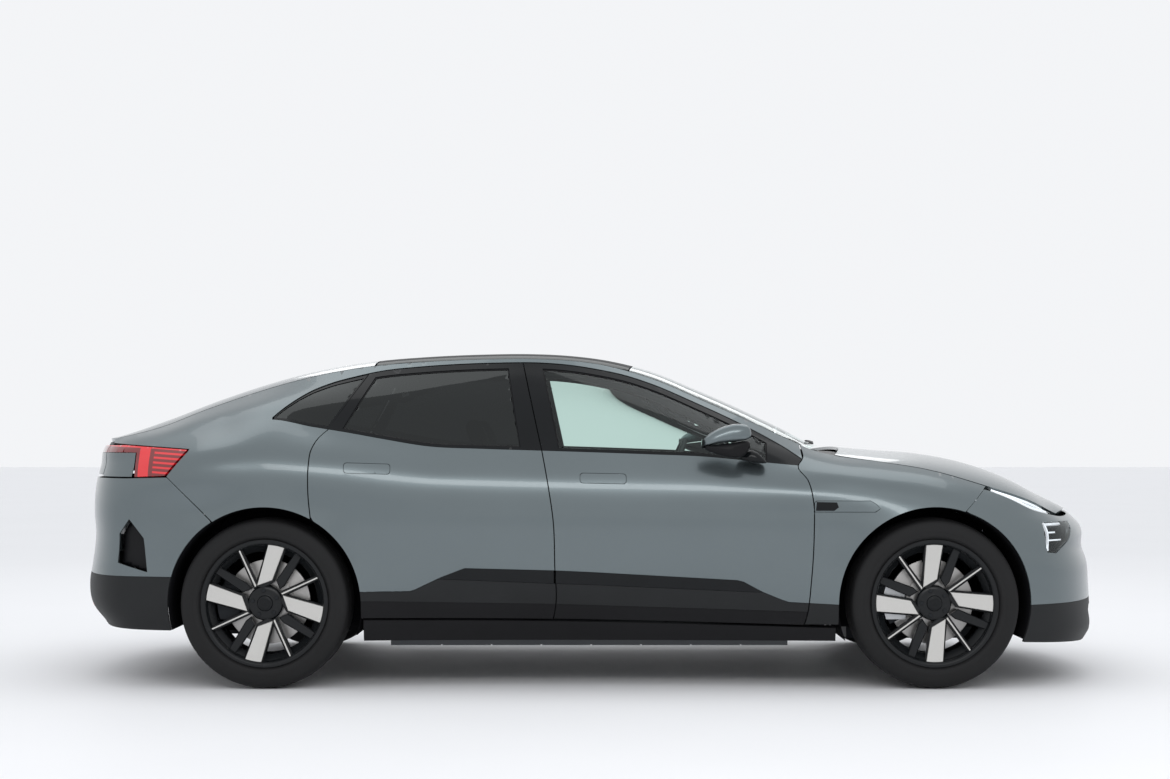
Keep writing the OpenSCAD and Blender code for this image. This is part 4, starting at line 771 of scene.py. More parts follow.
# %% Door outlines
def slot_shape(x0, x1, z0, z1, r, lean=0.0, n=5):
    """Rounded bar in side view; lean tilts it."""
    r = min(r, (z1 - z0) / 2 - 0.01)
    out = []
    for cx, cz, a0 in ((x1 - r, z0 + r, -90), (x1 - r, z1 - r, 0), (x0 + r, z1 - r, 90),
                       (x0 + r, z0 + r, 180)):
        for a in np.radians(np.linspace(a0, a0 + 90, n)):
            out.append((cx + r * math.cos(a), cz + r * math.sin(a)))
    out = np.array(out)
    out[:, 1] += (out[:, 0] - (x0 + x1) / 2) * lean
    return out


def band(left, right, low, high, inset=0.0, n=40):
    """Outline between two upright edges x(z) and two level edges z(x), each moved in by inset."""
    def corner(edge, line, ex, ez):
        x, z = edge(600.0), 600.0
        for _ in range(12):
            z = float(line(x)) + ez
            x = float(edge(z)) + ex
        return x, z
    c = [corner(left, low, inset, inset), corner(right, low, -inset, inset),
         corner(right, high, -inset, -inset), corner(left, high, inset, -inset)]
    bottom = flat_line(low, c[0][0], c[1][0], inset, n)
    top = flat_line(high, c[2][0], c[3][0], -inset, n)
    zr, zl = np.linspace(c[1][1], c[2][1], n), np.linspace(c[3][1], c[0][1], n)
    return np.concatenate([bottom, np.stack([right(zr) - inset, zr], 1)[1:], top[1:],
                           np.stack([left(zl) + inset, zl], 1)[1:-1]])


def front_left(z):
    return smooth(MIDDLE_SHUT, z) + GAP


def front_right(z):
    return smooth(FRONT_SHUT, z) - GAP


def rear_right(z):
    return smooth(MIDDLE_SHUT, z) - GAP


HANDLES = {"front": slot_shape(-58, 151, 917, 964, 14, -0.02),
           "rear": slot_shape(-1115, -906, 961, 1009, 14, -0.03)}


def shrink(loop, by):
    mid = loop.mean(0)
    half = np.abs(loop - mid).max(0)
    return mid + (loop - mid) * (1 - by / half)


DOORS = (("front", front_left, front_right), ("rear", rear_edge, rear_right))
for which, left, right in DOORS:
    body = f"{which}_door_SIDE"
    skin = band(left, right, lambda x: paint_low(x) + 1, lambda x: belt(x) - 1)
    side_panel(f"door_skin_{which}", skin, body, "body_paint", paint, 3.5, [HANDLES[which]],
               replaced=[f"door_{which}_SIDE"], step=15)
    side_panel(f"door_handle_{which}", shrink(HANDLES[which], 2.2), body, "body_paint", paint, 9,
               roll=1.6, step=9)
    side_panel(f"handle_pocket_{which}", shrink(HANDLES[which], -4), body, "black_trim",
               satin_black, 2, roll=0, step=12, sink=9)
    side_panel(f"door_cladding_{which}", band(left, right, clad_low, lambda x: np.minimum(
        paint_low(x), np.where((x > -690) & (x < 760), strip_low(x), 9999)) - 1), body,
        "black_trim", cladding, 5, roll=1.5, sink=0.5)
    side_panel(f"door_base_{which}", band(left, right, lambda x: door_low(x) + GAP,
                                          lambda x: clad_low(x) - 1),
               body, "black_trim", satin_black, 5, roll=1.5, sink=4.0)
print("door skins, handles and cladding made")


# %% Glossy strips
def strip_outline(x0, x1):
    x = np.linspace(x0, x1, 30)
    return np.concatenate([np.stack([x, strip_low(x) + 0.5], 1),
                           np.stack([x, paint_low(x) - 0.5], 1)[::-1]])


side_panel("door_strip_rear", strip_outline(-682, -172 - GAP), "rear_door_SIDE", "black_trim",
           gloss_black, 5, roll=1.0, sink=2.0, step=14)
side_panel("door_strip_front", strip_outline(-167 + GAP, 756), "front_door_SIDE", "black_trim",
           gloss_black, 5, roll=1.0, sink=2.0, step=14)


# %% Window frames
def frame_points(b, t, share):
    return b + (t - b) * share


def window_edges(which):
    """Foot and head of a door's window frame at a share s of its length, as in the CAD."""
    if which == "front":
        foot_left, foot_right = float(front_left(1068.0)), float(front_right(998.0))
        head_left, head_right = float(front_left(1469.0)), 946.0
    else:
        foot_left, foot_right = float(rear_edge(1158.0)), float(rear_right(1066.0))
        head_left, head_right = -1035.0, float(rear_right(1469.0))

    def foot(s):
        x = foot_left + (foot_right - foot_left) * s
        return np.stack([x, belt(x)], 1)

    def head(s):
        x = head_left + (head_right - head_left) * s
        return np.stack([x, glass_top(x) - 2], 1)
    return foot, head


WINDOWS = {"front": (0.065, 0.88), "rear": (0.06, 0.905)}
for which in ("front", "rear"):
    foot, head = window_edges(which)
    s = np.linspace(0, 1, 60)
    outer = np.concatenate([foot(s), head(s[::-1])])
    s0, s1 = WINDOWS[which]
    s = np.linspace(s0, s1, 50)
    f, h = foot(s), head(s)
    tall = (h - f)[:, 1:]
    inner = np.concatenate([frame_points(f, h, np.minimum(0.3, 12 / tall)),
                            frame_points(f, h, 1 - np.minimum(0.4, 24 / tall))[::-1]])
    body = f"{which}_door_SIDE"
    side_panel(f"window_frame_{which}", outer, body, "black_trim", gloss_black, 26, [inner],
               roll=1.0, step=13)
    glass = clear_glass if which == "front" else dark_glass
    side_panel(f"window_glass_{which}", inner, body,
               "glazing_clear" if which == "front" else "glazing_dark",
               glass, 0, roll=0, replaced=[f"window_{which}_SIDE"], step=22, sink=5.0)
    seal = even(inner, 12)
    mid = seal.mean(0)
    side_panel(f"window_seal_{which}", shrink(inner, -1), body, "black_trim", satin_black, 4,
               [shrink(inner, 7)], roll=0, step=16, sink=3.0)
print("window frames and glass made")

# %% [markdown]
# ## Body side
# One outline runs up the windscreen pillar, back along the roof's edge, down the tail and
# round the rear arch, so the rail and the quarter panel are one pressing, as on the car.

# %% Body side outline
s = np.linspace(0, 1, 140)
pillar_x, deck_x = 948.0, -2200.0
rail = np.stack([pillar_x + (deck_x - pillar_x) * s, edge_z(pillar_x + (deck_x - pillar_x) * s)], 1)


def lamp_top(x):
    return 1070 + 21 * (-1810 - x) / 306


lamp_x = np.linspace(deck_x, -1813, 20)
tail_edge = np.stack([lamp_x, lamp_top(lamp_x) + GAP], 1)
lamp_edge = np.array([[-1816, 1062], [-1905, 950]])
bumper_edge = np.array([[-1905, 949], [-1697, 749]])
arch_edge = arch(REAR_X, np.linspace(121.8, 61.5, 40))
z = np.linspace(DOOR_ARCH_TOP + 1, 1150, 30)
shut_edge = np.stack([smooth(REAR_SHUT, z) - GAP, z], 1)
belt_x = np.linspace(-1200, -1455, 24)
belt_edge = np.stack([belt_x, belt(belt_x) - 1], 1)
window_x = np.linspace(-1457, 948, 120)
window_edge = np.stack([window_x, glass_top(window_x) + 3], 1)
body_outline = np.concatenate([rail, tail_edge, lamp_edge, bumper_edge, arch_edge, shut_edge,
                               belt_edge, window_edge])
side_panel("body_side_skin", body_outline, "body", "body_paint", paint, 3.5, step=16,
           replaced=["body_side_SIDE"])

# %% Quarter windows
x = np.linspace(-1197, -1449, 24)
low_edge = np.stack([x, belt(x) + 2], 1)
x = np.linspace(-1447, -1043, 34)
high_edge = np.stack([x, glass_top(x) - 2], 1)
quarter = np.concatenate([low_edge, high_edge])
side_panel("quarter_glass", quarter, "body", "glazing_dark", dark_glass, 0, roll=0, sink=6.0,
           step=20, replaced=["quarter_windows"])
side_panel("quarter_frame", quarter, "body", "black_trim", gloss_black, 8, [shrink(quarter, 16)],
           roll=0.8, sink=3.0)

# %% Front wings
WING_END, WING_ARCH = 1779.0, 72.0  # where the wing meets the lamp, and the arch angle below it
wing_x = np.linspace(954, WING_END, 60)
wing_top = np.stack([wing_x, edge_z(wing_x)], 1)
wing_low_corner = arch(FRONT_X, np.array([WING_ARCH]))[0]
wing_front = np.array([[WING_END, edge_z(WING_END)], wing_low_corner])
wing_arch = arch(FRONT_X, np.linspace(WING_ARCH, 180, 70))
wing_foot = np.array([[1099, 381], [1099, 378], [972, 384]])
zz = np.linspace(386, 1090, 60)
wing_rear = np.stack([smooth(FRONT_SHUT, zz) + GAP, zz], 1)
wing = np.concatenate([wing_top, wing_front, wing_arch, wing_foot, wing_rear])
WING_TRIM = np.array([[990, 790], [1262, 790], [1284, 806], [1268, 826], [1240, 842], [1000, 842],
                      [989, 834]], float)
side_panel("front_wing_skin", wing, "body", "body_paint", paint, 3.5, [WING_TRIM], step=15,
           replaced=["front_wing_SIDE"])
side_panel("wing_trim", shrink(WING_TRIM, 2.2), "body", "body_paint", paint, 6, roll=1.4, step=12,
           sink=1.0)
side_panel("wing_camera_cover", np.array([[996, 797], [1078, 797], [1098, 812], [1090, 834],
                                          [1000, 836]], float),
           "body", "black_trim", gloss_black, 4, roll=1.0, step=10, sink=-0.6)
zf = np.linspace(384, 287, 8)
foot = np.concatenate([np.stack([smooth(FRONT_SHUT, zf) + GAP, zf], 1), [[1099, 287], [1099, 377]]])
side_panel("wing_foot", foot, "body", "black_trim", cladding, 5, roll=1.2, sink=1.0)
print("body side and wings made")

# %% Arch lips
def lip(name, x, a0, a1, body, start=1.5, depth=26.0):
    """A flange that runs inwards round a wheel arch, from start to depth behind the skin."""
    a = np.linspace(a0, a1, max(8, int(abs(a1 - a0) / 2)))
    outer, inner = arch(x, a, ARCH_R + 1), arch(x, a, ARCH_R - 2)
    n = len(a)
    for side, s in SIDES:
        y = side_y(outer[:, 0], outer[:, 1])
        rings = [np.stack([p[:, 0], s * (y - d), p[:, 1]], 1)
                 for p, d in ((outer, start), (outer, depth), (inner, depth), (inner, start + 1.5))]
        quads = [(r * n + k, r * n + k + 1, ((r + 1) % 4) * n + k + 1, ((r + 1) % 4) * n + k)
                 for r in range(4) for k in range(n - 1)]
        quads += [(0, n, 2 * n, 3 * n), (n - 1, 4 * n - 1, 3 * n - 1, 2 * n - 1)]
        f = np.array(quads)
        make(f"{name}_{side}", np.concatenate(rings), f if s > 0 else f[:, ::-1], felt_black,
             body.replace("SIDE", side), "black_trim")


DEEP_LIP = 330.0  # reaches the wheelhouse from the skin
lip("front_arch_lip", FRONT_X, WING_ARCH, 180, "body", depth=478)
lip("front_arch_foot", FRONT_X, 180, 203, "body", start=22, depth=DEEP_LIP)
lip("nose_arch_lip", FRONT_X, -22, 71.6, "body", start=9, depth=440)
lip("rear_arch_lip", REAR_X, 61.5, 121.5, "body", start=3, depth=DEEP_LIP)
lip("tail_arch_lip", REAR_X, 122, 196, "body", start=9, depth=DEEP_LIP)
lip("door_arch_lip", REAR_X, 3, 61, "rear_door_SIDE", depth=26)
lip("door_arch_closer", REAR_X, -20, 61, "body", start=44, depth=DEEP_LIP)
WALL_Y = {"front": 516.0, "rear": 676.0}  # clear of the steered and of the fixed wheel
for end, x in (("front", FRONT_X), ("rear", REAR_X)):
    flat, faces = net(arch(x, np.linspace(-20, 200, 70), ARCH_R - 1), step=40)
    for side, s in SIDES:
        points = np.stack([flat[:, 0], np.full(len(flat), s * WALL_Y[end]), flat[:, 1]], 1)
        press(make(f"wheelhouse_wall_{end}_{side}", points, outward(points, faces, (0, s, 0)),
                   felt_black, "body", "black_trim"), 5, 0)

# %% [markdown]
# ## Bonnet, roof and tailgate
# These lie over the top surface, whose map is plan view.


# %% Top panels
def top_piece(name, outline, body, slot, finish, thick, roll=1.2, replaced=(), sink=0.0, step=20.0,
              holes=()):
    flat, faces = net(outline, holes, step)
    points = on_top(flat, sink)
    piece = make(name, points, outward(points, faces, (0, 0, 1)), finish, body, slot, replaced)
    return press(piece, thick, roll)


def across(front, rear, sides_x, sides_y, n=40):
    """Outline in plan view between a front and a rear line x(c) and mirrored side points."""
    c = np.linspace(-1, 1, n)
    front_w, rear_w = sides_y[0], sides_y[-1]
    f = np.stack([front(np.abs(c)), c * front_w], 1)
    r = np.stack([rear(np.abs(c[::-1])), c[::-1] * rear_w], 1)
    down = np.stack([sides_x, sides_y], 1)
    up = np.stack([sides_x[::-1], -sides_y[::-1]], 1)
    return np.concatenate([f, down[1:-1], r, up[1:-1]])


def mix(a, b, t):
    return a + (b - a) * t


def cowl_x(c):
    return mix(1200, 1112, c * c)


def screen_foot(c):
    return mix(1108, 1000, c * c)


def screen_head(c):
    return mix(205, 168, c * c)


def bonnet_nose(c):
    a = np.degrees(np.arccos(np.minimum(1, c * 0.765)))
    return end_point(True, a, np.full(np.shape(a), 787.0))[0]


def deck_tail(c):
    a = np.degrees(np.arccos(np.minimum(1, c * 0.825)))
    return end_point(False, a, np.full(np.shape(a), 1100.0))[0] + 6


t = np.linspace(0, 1, 50)
bonnet_x = mix(bonnet_nose(1.0), cowl_x(1.0), t)
bonnet_w = edge_half(mix(BONNET_END, cowl_x(1.0), t)) - 8.5 - 13 * np.clip((t - 0.87) / 0.13, 0, 1)
bonnet_outline = across(bonnet_nose, cowl_x, bonnet_x, bonnet_w)
top_piece("bonnet_skin", bonnet_outline, "bonnet", "body_paint", paint, 14, 2.0, ["bonnet"],
          step=19)
screen_w = edge_half(mix(screen_foot(1.0), screen_head(1.0), t)) - 7
screen_outline = across(screen_foot, lambda c: screen_head(c) + 3,
                        mix(screen_foot(1.0), screen_head(1.0) + 3, t), screen_w)
top_piece("windscreen_glass", screen_outline, "body", "glazing_clear", clear_glass, 0, 0,
          ["windscreen"], step=28)
roof_w = edge_half(mix(screen_head(1.0), ROOF_END, t)) - 5
roof_outline = across(lambda c: screen_head(c) - 3, lambda c: ROOF_END + 3 + 0 * c,
                      mix(screen_head(1.0) - 3, ROOF_END + 3, t), roof_w)
top_piece("roof_pane", roof_outline, "body", "glazing_dark", roof_dark, 5, 1.0, ["roof_glass"],
          step=28)
deck_w = edge_half(mix(ROOF_END - 10, DECK_END, t)) - 8.5
deck_outline = across(lambda c: ROOF_END - 7 + 0 * c, deck_tail,
                      mix(ROOF_END - 7, deck_tail(1.0), t), deck_w)
top_piece("tailgate_skin", deck_outline, "tailgate", "body_paint", paint, 20, 2.5, ["tailgate"],
          step=19)
print("bonnet, glass and tailgate made")


# %% Nose and tail panels
def wrap_piece(name, wrap, outline, body, slot, finish, thick, roll=1.2, replaced=(), sink=0.0,
               step=17.0, holes=()):
    flat, faces = net(outline, holes, step)
    points = wrap.lay(flat, sink)
    piece = make(name, points, outward(points, faces, (1 if wrap.nose else -1, 0, 0)), finish, body,
                 slot, replaced)
    return press(piece, thick, roll)


def mirrored(half):
    """A closed outline from points that run from the left middle line round to the right one."""
    other = half[::-1] * [-1, 1]
    return np.concatenate([half, other])


LAMP_LOW = [[1779, 893], [1899, 846], [1992, 803], [2060, 782], [2136, 764], [2250, 770],
            [2330, 776]]
FASCIA_LOW, BUMPER_LOW = 374.0, 500.0


def fascia_side(z):
    z = np.asarray(z, float)
    x0, z0 = wing_low_corner
    slant = x0 + (WING_END - x0) * (z - z0) / (edge_z(WING_END) - z0)
    return np.where(z < z0, FRONT_X + arch_reach(z), slant)


def fascia_top(a):
    x = NOSE_START + (nose_x(780.0) - NOSE_START) * np.sin(np.radians(a)) ** (2 / NOSE_POWER)
    return smooth(LAMP_LOW, x)


z = np.linspace(FASCIA_LOW, 890, 50)
nose_side = np.stack([nose_map.u(end_angle(True, fascia_side(z) + GAP, z)), z], 1)
LAMP_REAR_Z = 893.0
lamp_rear_angle = float(end_angle(True, fascia_side(LAMP_REAR_Z) + GAP, LAMP_REAR_Z))
a = np.linspace(lamp_rear_angle, 90, 70)
nose_top = np.stack([nose_map.u(a), fascia_top(a) - GAP], 1)
u_low = nose_side[0][0]
nose_bottom = np.stack([np.linspace(0, u_low, 50), np.full(50, FASCIA_LOW)], 1)
nose_half = np.concatenate([nose_bottom, nose_side[1:], nose_top[1:]])


blade_hole = np.array([[nose_spot(2030, 744), 744], [nose_spot(2036, 690), 690],
                       [nose_spot(2052, 606), 606], [nose_spot(2052, 606) - 60, 600],
                       [nose_spot(2052, 606) - 175, 652], [nose_spot(2030, 744) - 270, 738]])
bumper_outline = mirrored(nose_half)
wrap_piece("front_bumper_skin", nose_map, bumper_outline, "body", "body_paint", paint, 8, 1.4,
           ["front_bumper"], holes=[blade_hole, (blade_hole * [-1, 1])])
for side, s in SIDES:
    loop = shrink(blade_hole, -6) * [s, 1]
    wrap_piece(f"blade_lamp_recess_{side}", nose_map, loop, "body", "black_trim", gloss_black, 3, 0,
               sink=26, step=14)
    wrap_piece(f"blade_lamp_cover_{side}", nose_map, shrink(blade_hole, 1.5) * [s, 1], "body",
               "lamp_clear", lamp_cover, 0, 0, sink=1.0, step=16)
    for k, (x0, x1, z0, z1) in enumerate(((0, 9, 612, 738), (0, 150, 726, 735), (0, 62, 690, 697),
                                          (0, 110, 655, 662))):
        left0 = nose_spot(2040, 740) - 8
        bar = np.array([[left0 - x0, z0], [left0 - x0, z1], [left0 - x1, z1], [left0 - x1, z0]])
        if k == 0:
            bar = np.array([[left0, 738], [left0 - 9, 738], [nose_spot(2058, 612) - 14, 612],
                            [nose_spot(2058, 612) - 5, 612]])
        wrap_piece(f"blade_light_{k}_{side}", nose_map, bar * [s, 1], "body", "lamp_clear",
                   light_white, 10, 1.0, sink=12, step=9)

# %% Rear bumper
def rear_side(z):
    z = np.asarray(z, float)
    slant = -1700 - 205 * (z - BUMPER_ARCH_TOP) / 200
    return np.where(z < BUMPER_ARCH_TOP, REAR_X - arch_reach(z), slant)


z = np.linspace(BUMPER_LOW, 945, 50)
tail_side = np.stack([tail_map.u(end_angle(False, rear_side(z) - GAP, z)), z], 1)
tail_low = np.stack([np.linspace(0, tail_side[0][0], 50), np.full(50, BUMPER_LOW)], 1)
tail_half = np.concatenate([tail_low, tail_side[1:], [[tail_side[-1][0] - 200, 940], [0, 940]]])



vent = np.array([[tail_spot(-2084, 757), 757], [tail_spot(-2014, 672), 672],
                 [tail_spot(-1998, 520), 520], [tail_spot(-2089, 545), 545],
                 [tail_spot(-2089, 545) - 60, 560], [tail_spot(-2089, 545) - 60, 690]])
wrap_piece("rear_bumper_skin", tail_map, mirrored(tail_half), "body", "body_paint", paint, 8, 1.4,
           ["rear_bumper"], holes=[vent, vent * [-1, 1]])
for side, s in SIDES:
    wrap_piece(f"vent_back_{side}", tail_map, shrink(vent, -6) * [s, 1], "body", "black_trim",
               satin_black, 3, 0, sink=34, step=16)
corner_u0, corner_u1 = tail_spot(-2066, 1000), float(tail_map.u(36.0)) + 8
for side, s in SIDES:
    loop = np.array([[corner_u0, 947], [corner_u1, 947], [corner_u1, 1055], [corner_u0, 1055]])
    wrap_piece(f"tail_corner_{side}", tail_map, loop * [s, 1], "body", "body_paint", paint, 4, 1.0)
rear_u = float(tail_map.u(36.0))
face = np.array([[-rear_u, 956], [rear_u, 956], [rear_u, 1054.5], [-rear_u, 1054.5]])
wrap_piece("tailgate_face", tail_map, face, "tailgate", "body_paint", paint, 12, 1.2)
wrap_piece("light_bar_cover", tail_map, face * [1, 0] + np.array([[0, 1055.5], [0, 1055.5],
                                                                  [0, 1088.5], [0, 1088.5]]),
           "tailgate", "lamp_red", tail_red, 14, 1.5, ["light_bar"], sink=0.5)
inner_u = float(tail_map.u(38.0))
wrap_piece("light_bar_seat", tail_map, np.array([[-inner_u, 1000], [inner_u, 1000], [inner_u, 1102],
                                                 [-inner_u, 1102]]),
           "tailgate", "black_trim", satin_black, 12, 0, sink=18)
band_u0, band_u1 = tail_spot(-2128, 1070), corner_u1
for side, s in SIDES:
    loop = np.array([[band_u0, 1058], [band_u1, 1056], [band_u1, 1088.5],
                     [band_u0, float(lamp_top(-2128)) - GAP]])
    wrap_piece(f"tail_lamp_band_{side}", tail_map, loop * [s, 1], "body", "lamp_red", tail_red, 14,
               1.5, sink=0.5)
print("bumpers and tail made")

# %% Tail lamps
lamp_x0 = np.linspace(-1824, -2125, 30)
lamp_outline = np.concatenate([np.stack([lamp_x0, lamp_top(lamp_x0) - GAP], 1),
                               [[-2125, 1058], [-2060, 1056], [-2060, 947], [-1916, 953]]])
side_panel("tail_lamp", lamp_outline, "body", "lamp_red", tail_red, 20, roll=2.0, step=12,
           replaced=["tail_lamps"])

# %% Lower trims
u_trim = nose_spot(1934, 208) - 4
low_z = np.linspace(0, u_trim, 30)


def nose_low_edge(u):
    return np.interp(np.abs(u), [0, nose_map.u(50.0), u_trim], [172, 180, 206])


trim_z = np.linspace(208, 373, 14)
trim_x = FRONT_X + np.sqrt(ARCH_R ** 2 - (trim_z - WHEEL_Z) ** 2) + 3
trim_side = np.stack([[nose_spot(x, z) for x, z in zip(trim_x, trim_z)], trim_z], 1)
front_low = mirrored(np.concatenate([np.stack([low_z, nose_low_edge(low_z)], 1), trim_side,
                                     [[0, 373]]]))
intake = np.array([[-560, 240], [-500, 216], [500, 216], [560, 240], [560, 318], [520, 340],
                   [-520, 340], [-560, 318]], float)
wrap_piece("front_lower_trim", nose_map, front_low, "body", "black_trim", cladding, 9, 1.5,
           ["lower_trim"], holes=[intake])
wrap_piece("intake_back", nose_map, shrink(intake, -8), "body", "black_trim", felt_black, 3, 0,
           sink=60, step=40)
for k in range(4):
    slat = np.array([[-552, 232 + 27 * k], [552, 232 + 27 * k], [552, 240 + 27 * k],
                     [-552, 240 + 27 * k]], float)
    wrap_piece(f"intake_slat_{k}", nose_map, slat, "body", "black_trim", gloss_black, 22, 1.2,
               sink=9, step=26)
u_rear = tail_spot(-1888, 262) - 4
low_u = np.linspace(0, u_rear, 30)
rear_z = np.linspace(262, 499, 16)
rear_x = REAR_X - np.sqrt(ARCH_R ** 2 - (rear_z - WHEEL_Z) ** 2) - 3
rear_edge_low = np.stack([[tail_spot(x, z) for x, z in zip(rear_x, rear_z)], rear_z], 1)
rear_low = mirrored(np.concatenate([np.stack([low_u, np.full(30, 260.0)], 1), rear_edge_low,
                                    [[0, 499]]]))
wrap_piece("rear_lower_trim", tail_map, rear_low, "body", "black_trim", cladding, 9, 1.5)
sill = np.concatenate([np.stack([np.linspace(-1026, 1088, 50), np.full(50, 212.0)], 1),
                       np.stack([np.linspace(1088, -1026, 50),
                                 door_low(np.linspace(1088, -1026, 50)) - 7], 1)])
side_panel("sill_cover", sill, "body", "black_trim", satin_black, 40, roll=2.0, step=26)
print("trims made")

# %% [markdown]
# ## Wheels
# A wheel is made once, standing at the origin with its outer face along -Y, as the right
# side of the car shows it. Its barrel and tyre are turned profiles. The four blades, the
# thin bright lines and the dark spokes are one cut each, and a Geometry Nodes tree repeats
# them round the axle. The left wheels are the same wheel turned about, not mirrored.

# %% Lathe
def lathe(profile, n=96):
    """Closed ring of [radius, y] points turned about the Y axis: points and faces."""
    p = np.asarray(profile, float)
    a = np.linspace(0, 2 * math.pi, n, endpoint=False)
    m = len(p)
    pts = np.stack([np.outer(np.cos(a), p[:, 0]), np.tile(p[:, 1], (n, 1)),
                    np.outer(np.sin(a), p[:, 0])], 2)
    faces = [(i * m + j, ((i + 1) % n) * m + j, ((i + 1) % n) * m + (j + 1) % m,
              i * m + (j + 1) % m) for i in range(n) for j in range(m)]
    after = np.roll(p, -1, 0)
    area = (p[:, 0] * after[:, 1] - after[:, 0] * p[:, 1]).sum()
    f = np.array(faces)
    return pts.reshape(-1, 3), (f if area > 0 else f[:, ::-1])


def fillet(profile, r=2.0, n=3):
    """Rounds every corner of a closed profile a little."""
    p = np.asarray(profile, float)
    out = []
    for i in range(len(p)):
        a, b, c = p[i - 1], p[i], p[(i + 1) % len(p)]
        u, v = a - b, c - b
        k = min(r, np.hypot(*u) * 0.4, np.hypot(*v) * 0.4)
        s, e = b + u / np.hypot(*u) * k, b + v / np.hypot(*v) * k
        for t in np.linspace(0, 1, n):
            out.append((1 - t) ** 2 * s + 2 * t * (1 - t) * b + t * t * e)
    return np.array(out)


def prism(outline, y_face, y_back, chamfer=1.5):
    """A cut plate: an outline in (x, z) from its face to its back, with a small chamfer."""
    p = np.asarray(outline, float)
    after = np.roll(p, -1, 0)
    if (p[:, 0] * after[:, 1] - after[:, 0] * p[:, 1]).sum() < 0:
        p = p[::-1]
    e1, e2 = p - np.roll(p, 1, 0), np.roll(p, -1, 0) - p
    n1 = np.stack([-e1[:, 1], e1[:, 0]], 1) / np.hypot(*e1.T)[:, None]
    n2 = np.stack([-e2[:, 1], e2[:, 0]], 1) / np.hypot(*e2.T)[:, None]
    mid = (n1 + n2) / np.maximum(0.2, 1 + (n1 * n2).sum(1))[:, None]
    top = p + mid * chamfer
    n = len(p)
    ring = lambda q, y: np.stack([q[:, 0], np.broadcast_to(y, n), q[:, 1]], 1)
    step = chamfer if y_back > y_face else -chamfer
    y_face = np.broadcast_to(np.asarray(y_face, float), n)
    pts = np.concatenate([ring(top, y_face), ring(p, y_face + step), ring(p, y_back)])
    faces = [tuple(range(n))]
    for r in (0, 1):
        faces += [((r + 1) * n + k, (r + 1) * n + (k + 1) % n, r * n + (k + 1) % n,
                   r * n + k) for k in range(n)]
    faces.append(tuple(range(3 * n - 1, 2 * n - 1, -1)))
    return pts, faces


def polar(r, a):
    a = math.radians(a)
    return [r * math.cos(a), r * math.sin(a)]


print("lathe and cutter ready")


# %% Round repeats as Geometry Nodes
def round_tree():
    """Repeats its input round the Y axis: Count copies, Share of a full turn apart."""
    tree = bpy.data.node_groups.new("repeat_round", "GeometryNodeTree")
    face = tree.interface
    face.new_socket("Geometry", in_out="INPUT", socket_type="NodeSocketGeometry")
    count = face.new_socket("Count", in_out="INPUT", socket_type="NodeSocketInt")
    first = face.new_socket("First turn", in_out="INPUT", socket_type="NodeSocketFloat")
    finish = face.new_socket("Finish", in_out="INPUT", socket_type="NodeSocketMaterial")
    face.new_socket("Geometry", in_out="OUTPUT", socket_type="NodeSocketGeometry")
    add, link = tree.nodes.new, tree.links.new
    given, result = add("NodeGroupInput"), add("NodeGroupOutput")
    points = add("GeometryNodePoints")
    index = add("GeometryNodeInputIndex")
    share = add("ShaderNodeMath")
    share.operation = "DIVIDE"
    turn = add("ShaderNodeMath")
    turn.operation = "MULTIPLY_ADD"
    turn.inputs[1].default_value = 2 * math.pi
    spin = add("ShaderNodeCombineXYZ")
    copies = add("GeometryNodeInstanceOnPoints")
    real = add("GeometryNodeRealizeInstances")
    coat = add("GeometryNodeSetMaterial")
    link(given.outputs["Count"], points.inputs["Count"])
    link(index.outputs[0], share.inputs[0])
    link(given.outputs["Count"], share.inputs[1])
    link(share.outputs[0], turn.inputs[0])
    link(given.outputs["First turn"], turn.inputs[2])
    link(turn.outputs[0], spin.inputs["Y"])
    link(points.outputs[0], copies.inputs["Points"])
    link(given.outputs["Geometry"], copies.inputs["Instance"])
    link(spin.outputs[0], copies.inputs["Rotation"])
    link(copies.outputs[0], real.inputs[0])
    link(real.outputs[0], coat.inputs["Geometry"])
    link(given.outputs["Finish"], coat.inputs["Material"])
    link(coat.outputs[0], result.inputs[0])
    return tree, {"count": count.identifier, "first": first.identifier, "finish": finish.identifier}


round_group, round_keys = round_tree()


def around(points, faces, count, finish, first=0.0):
    """Mesh data of count copies round the Y axis, in millimetres."""
    mesh = bpy.data.meshes.new("one")
    mesh.from_pydata(np.asarray(points).tolist(), [], [list(map(int, f)) for f in faces])
    piece = bpy.data.objects.new("one", mesh)
    bpy.context.collection.objects.link(piece)
    repeat = piece.modifiers.new("repeat", "NODES")
    repeat.node_group = round_group
    repeat[round_keys["count"]] = count
    repeat[round_keys["first"]] = math.radians(first)
    repeat[round_keys["finish"]] = finish
    graph = bpy.context.evaluated_depsgraph_get()
    graph.update()
    made = bpy.data.meshes.new_from_object(piece.evaluated_get(graph))
    pts = np.array([v.co[:] for v in made.vertices])
    out = [tuple(p.vertices) for p in made.polygons]
    bpy.data.objects.remove(piece)
    bpy.data.meshes.remove(made)
    return pts, out


def joined(*parts):
    pts, faces, at = [], [], 0
    for p, f in parts:
        pts.append(np.asarray(p))
        faces += [tuple(int(i) + at for i in one) for one in f]
        at += len(p)
    return np.concatenate(pts), faces


WHEELS = [("front", "left", FRONT_X, 1, 0), ("front", "right", FRONT_X, -1, 0),
          ("rear", "left", REAR_X, 1, 11), ("rear", "right", REAR_X, -1, 11)]


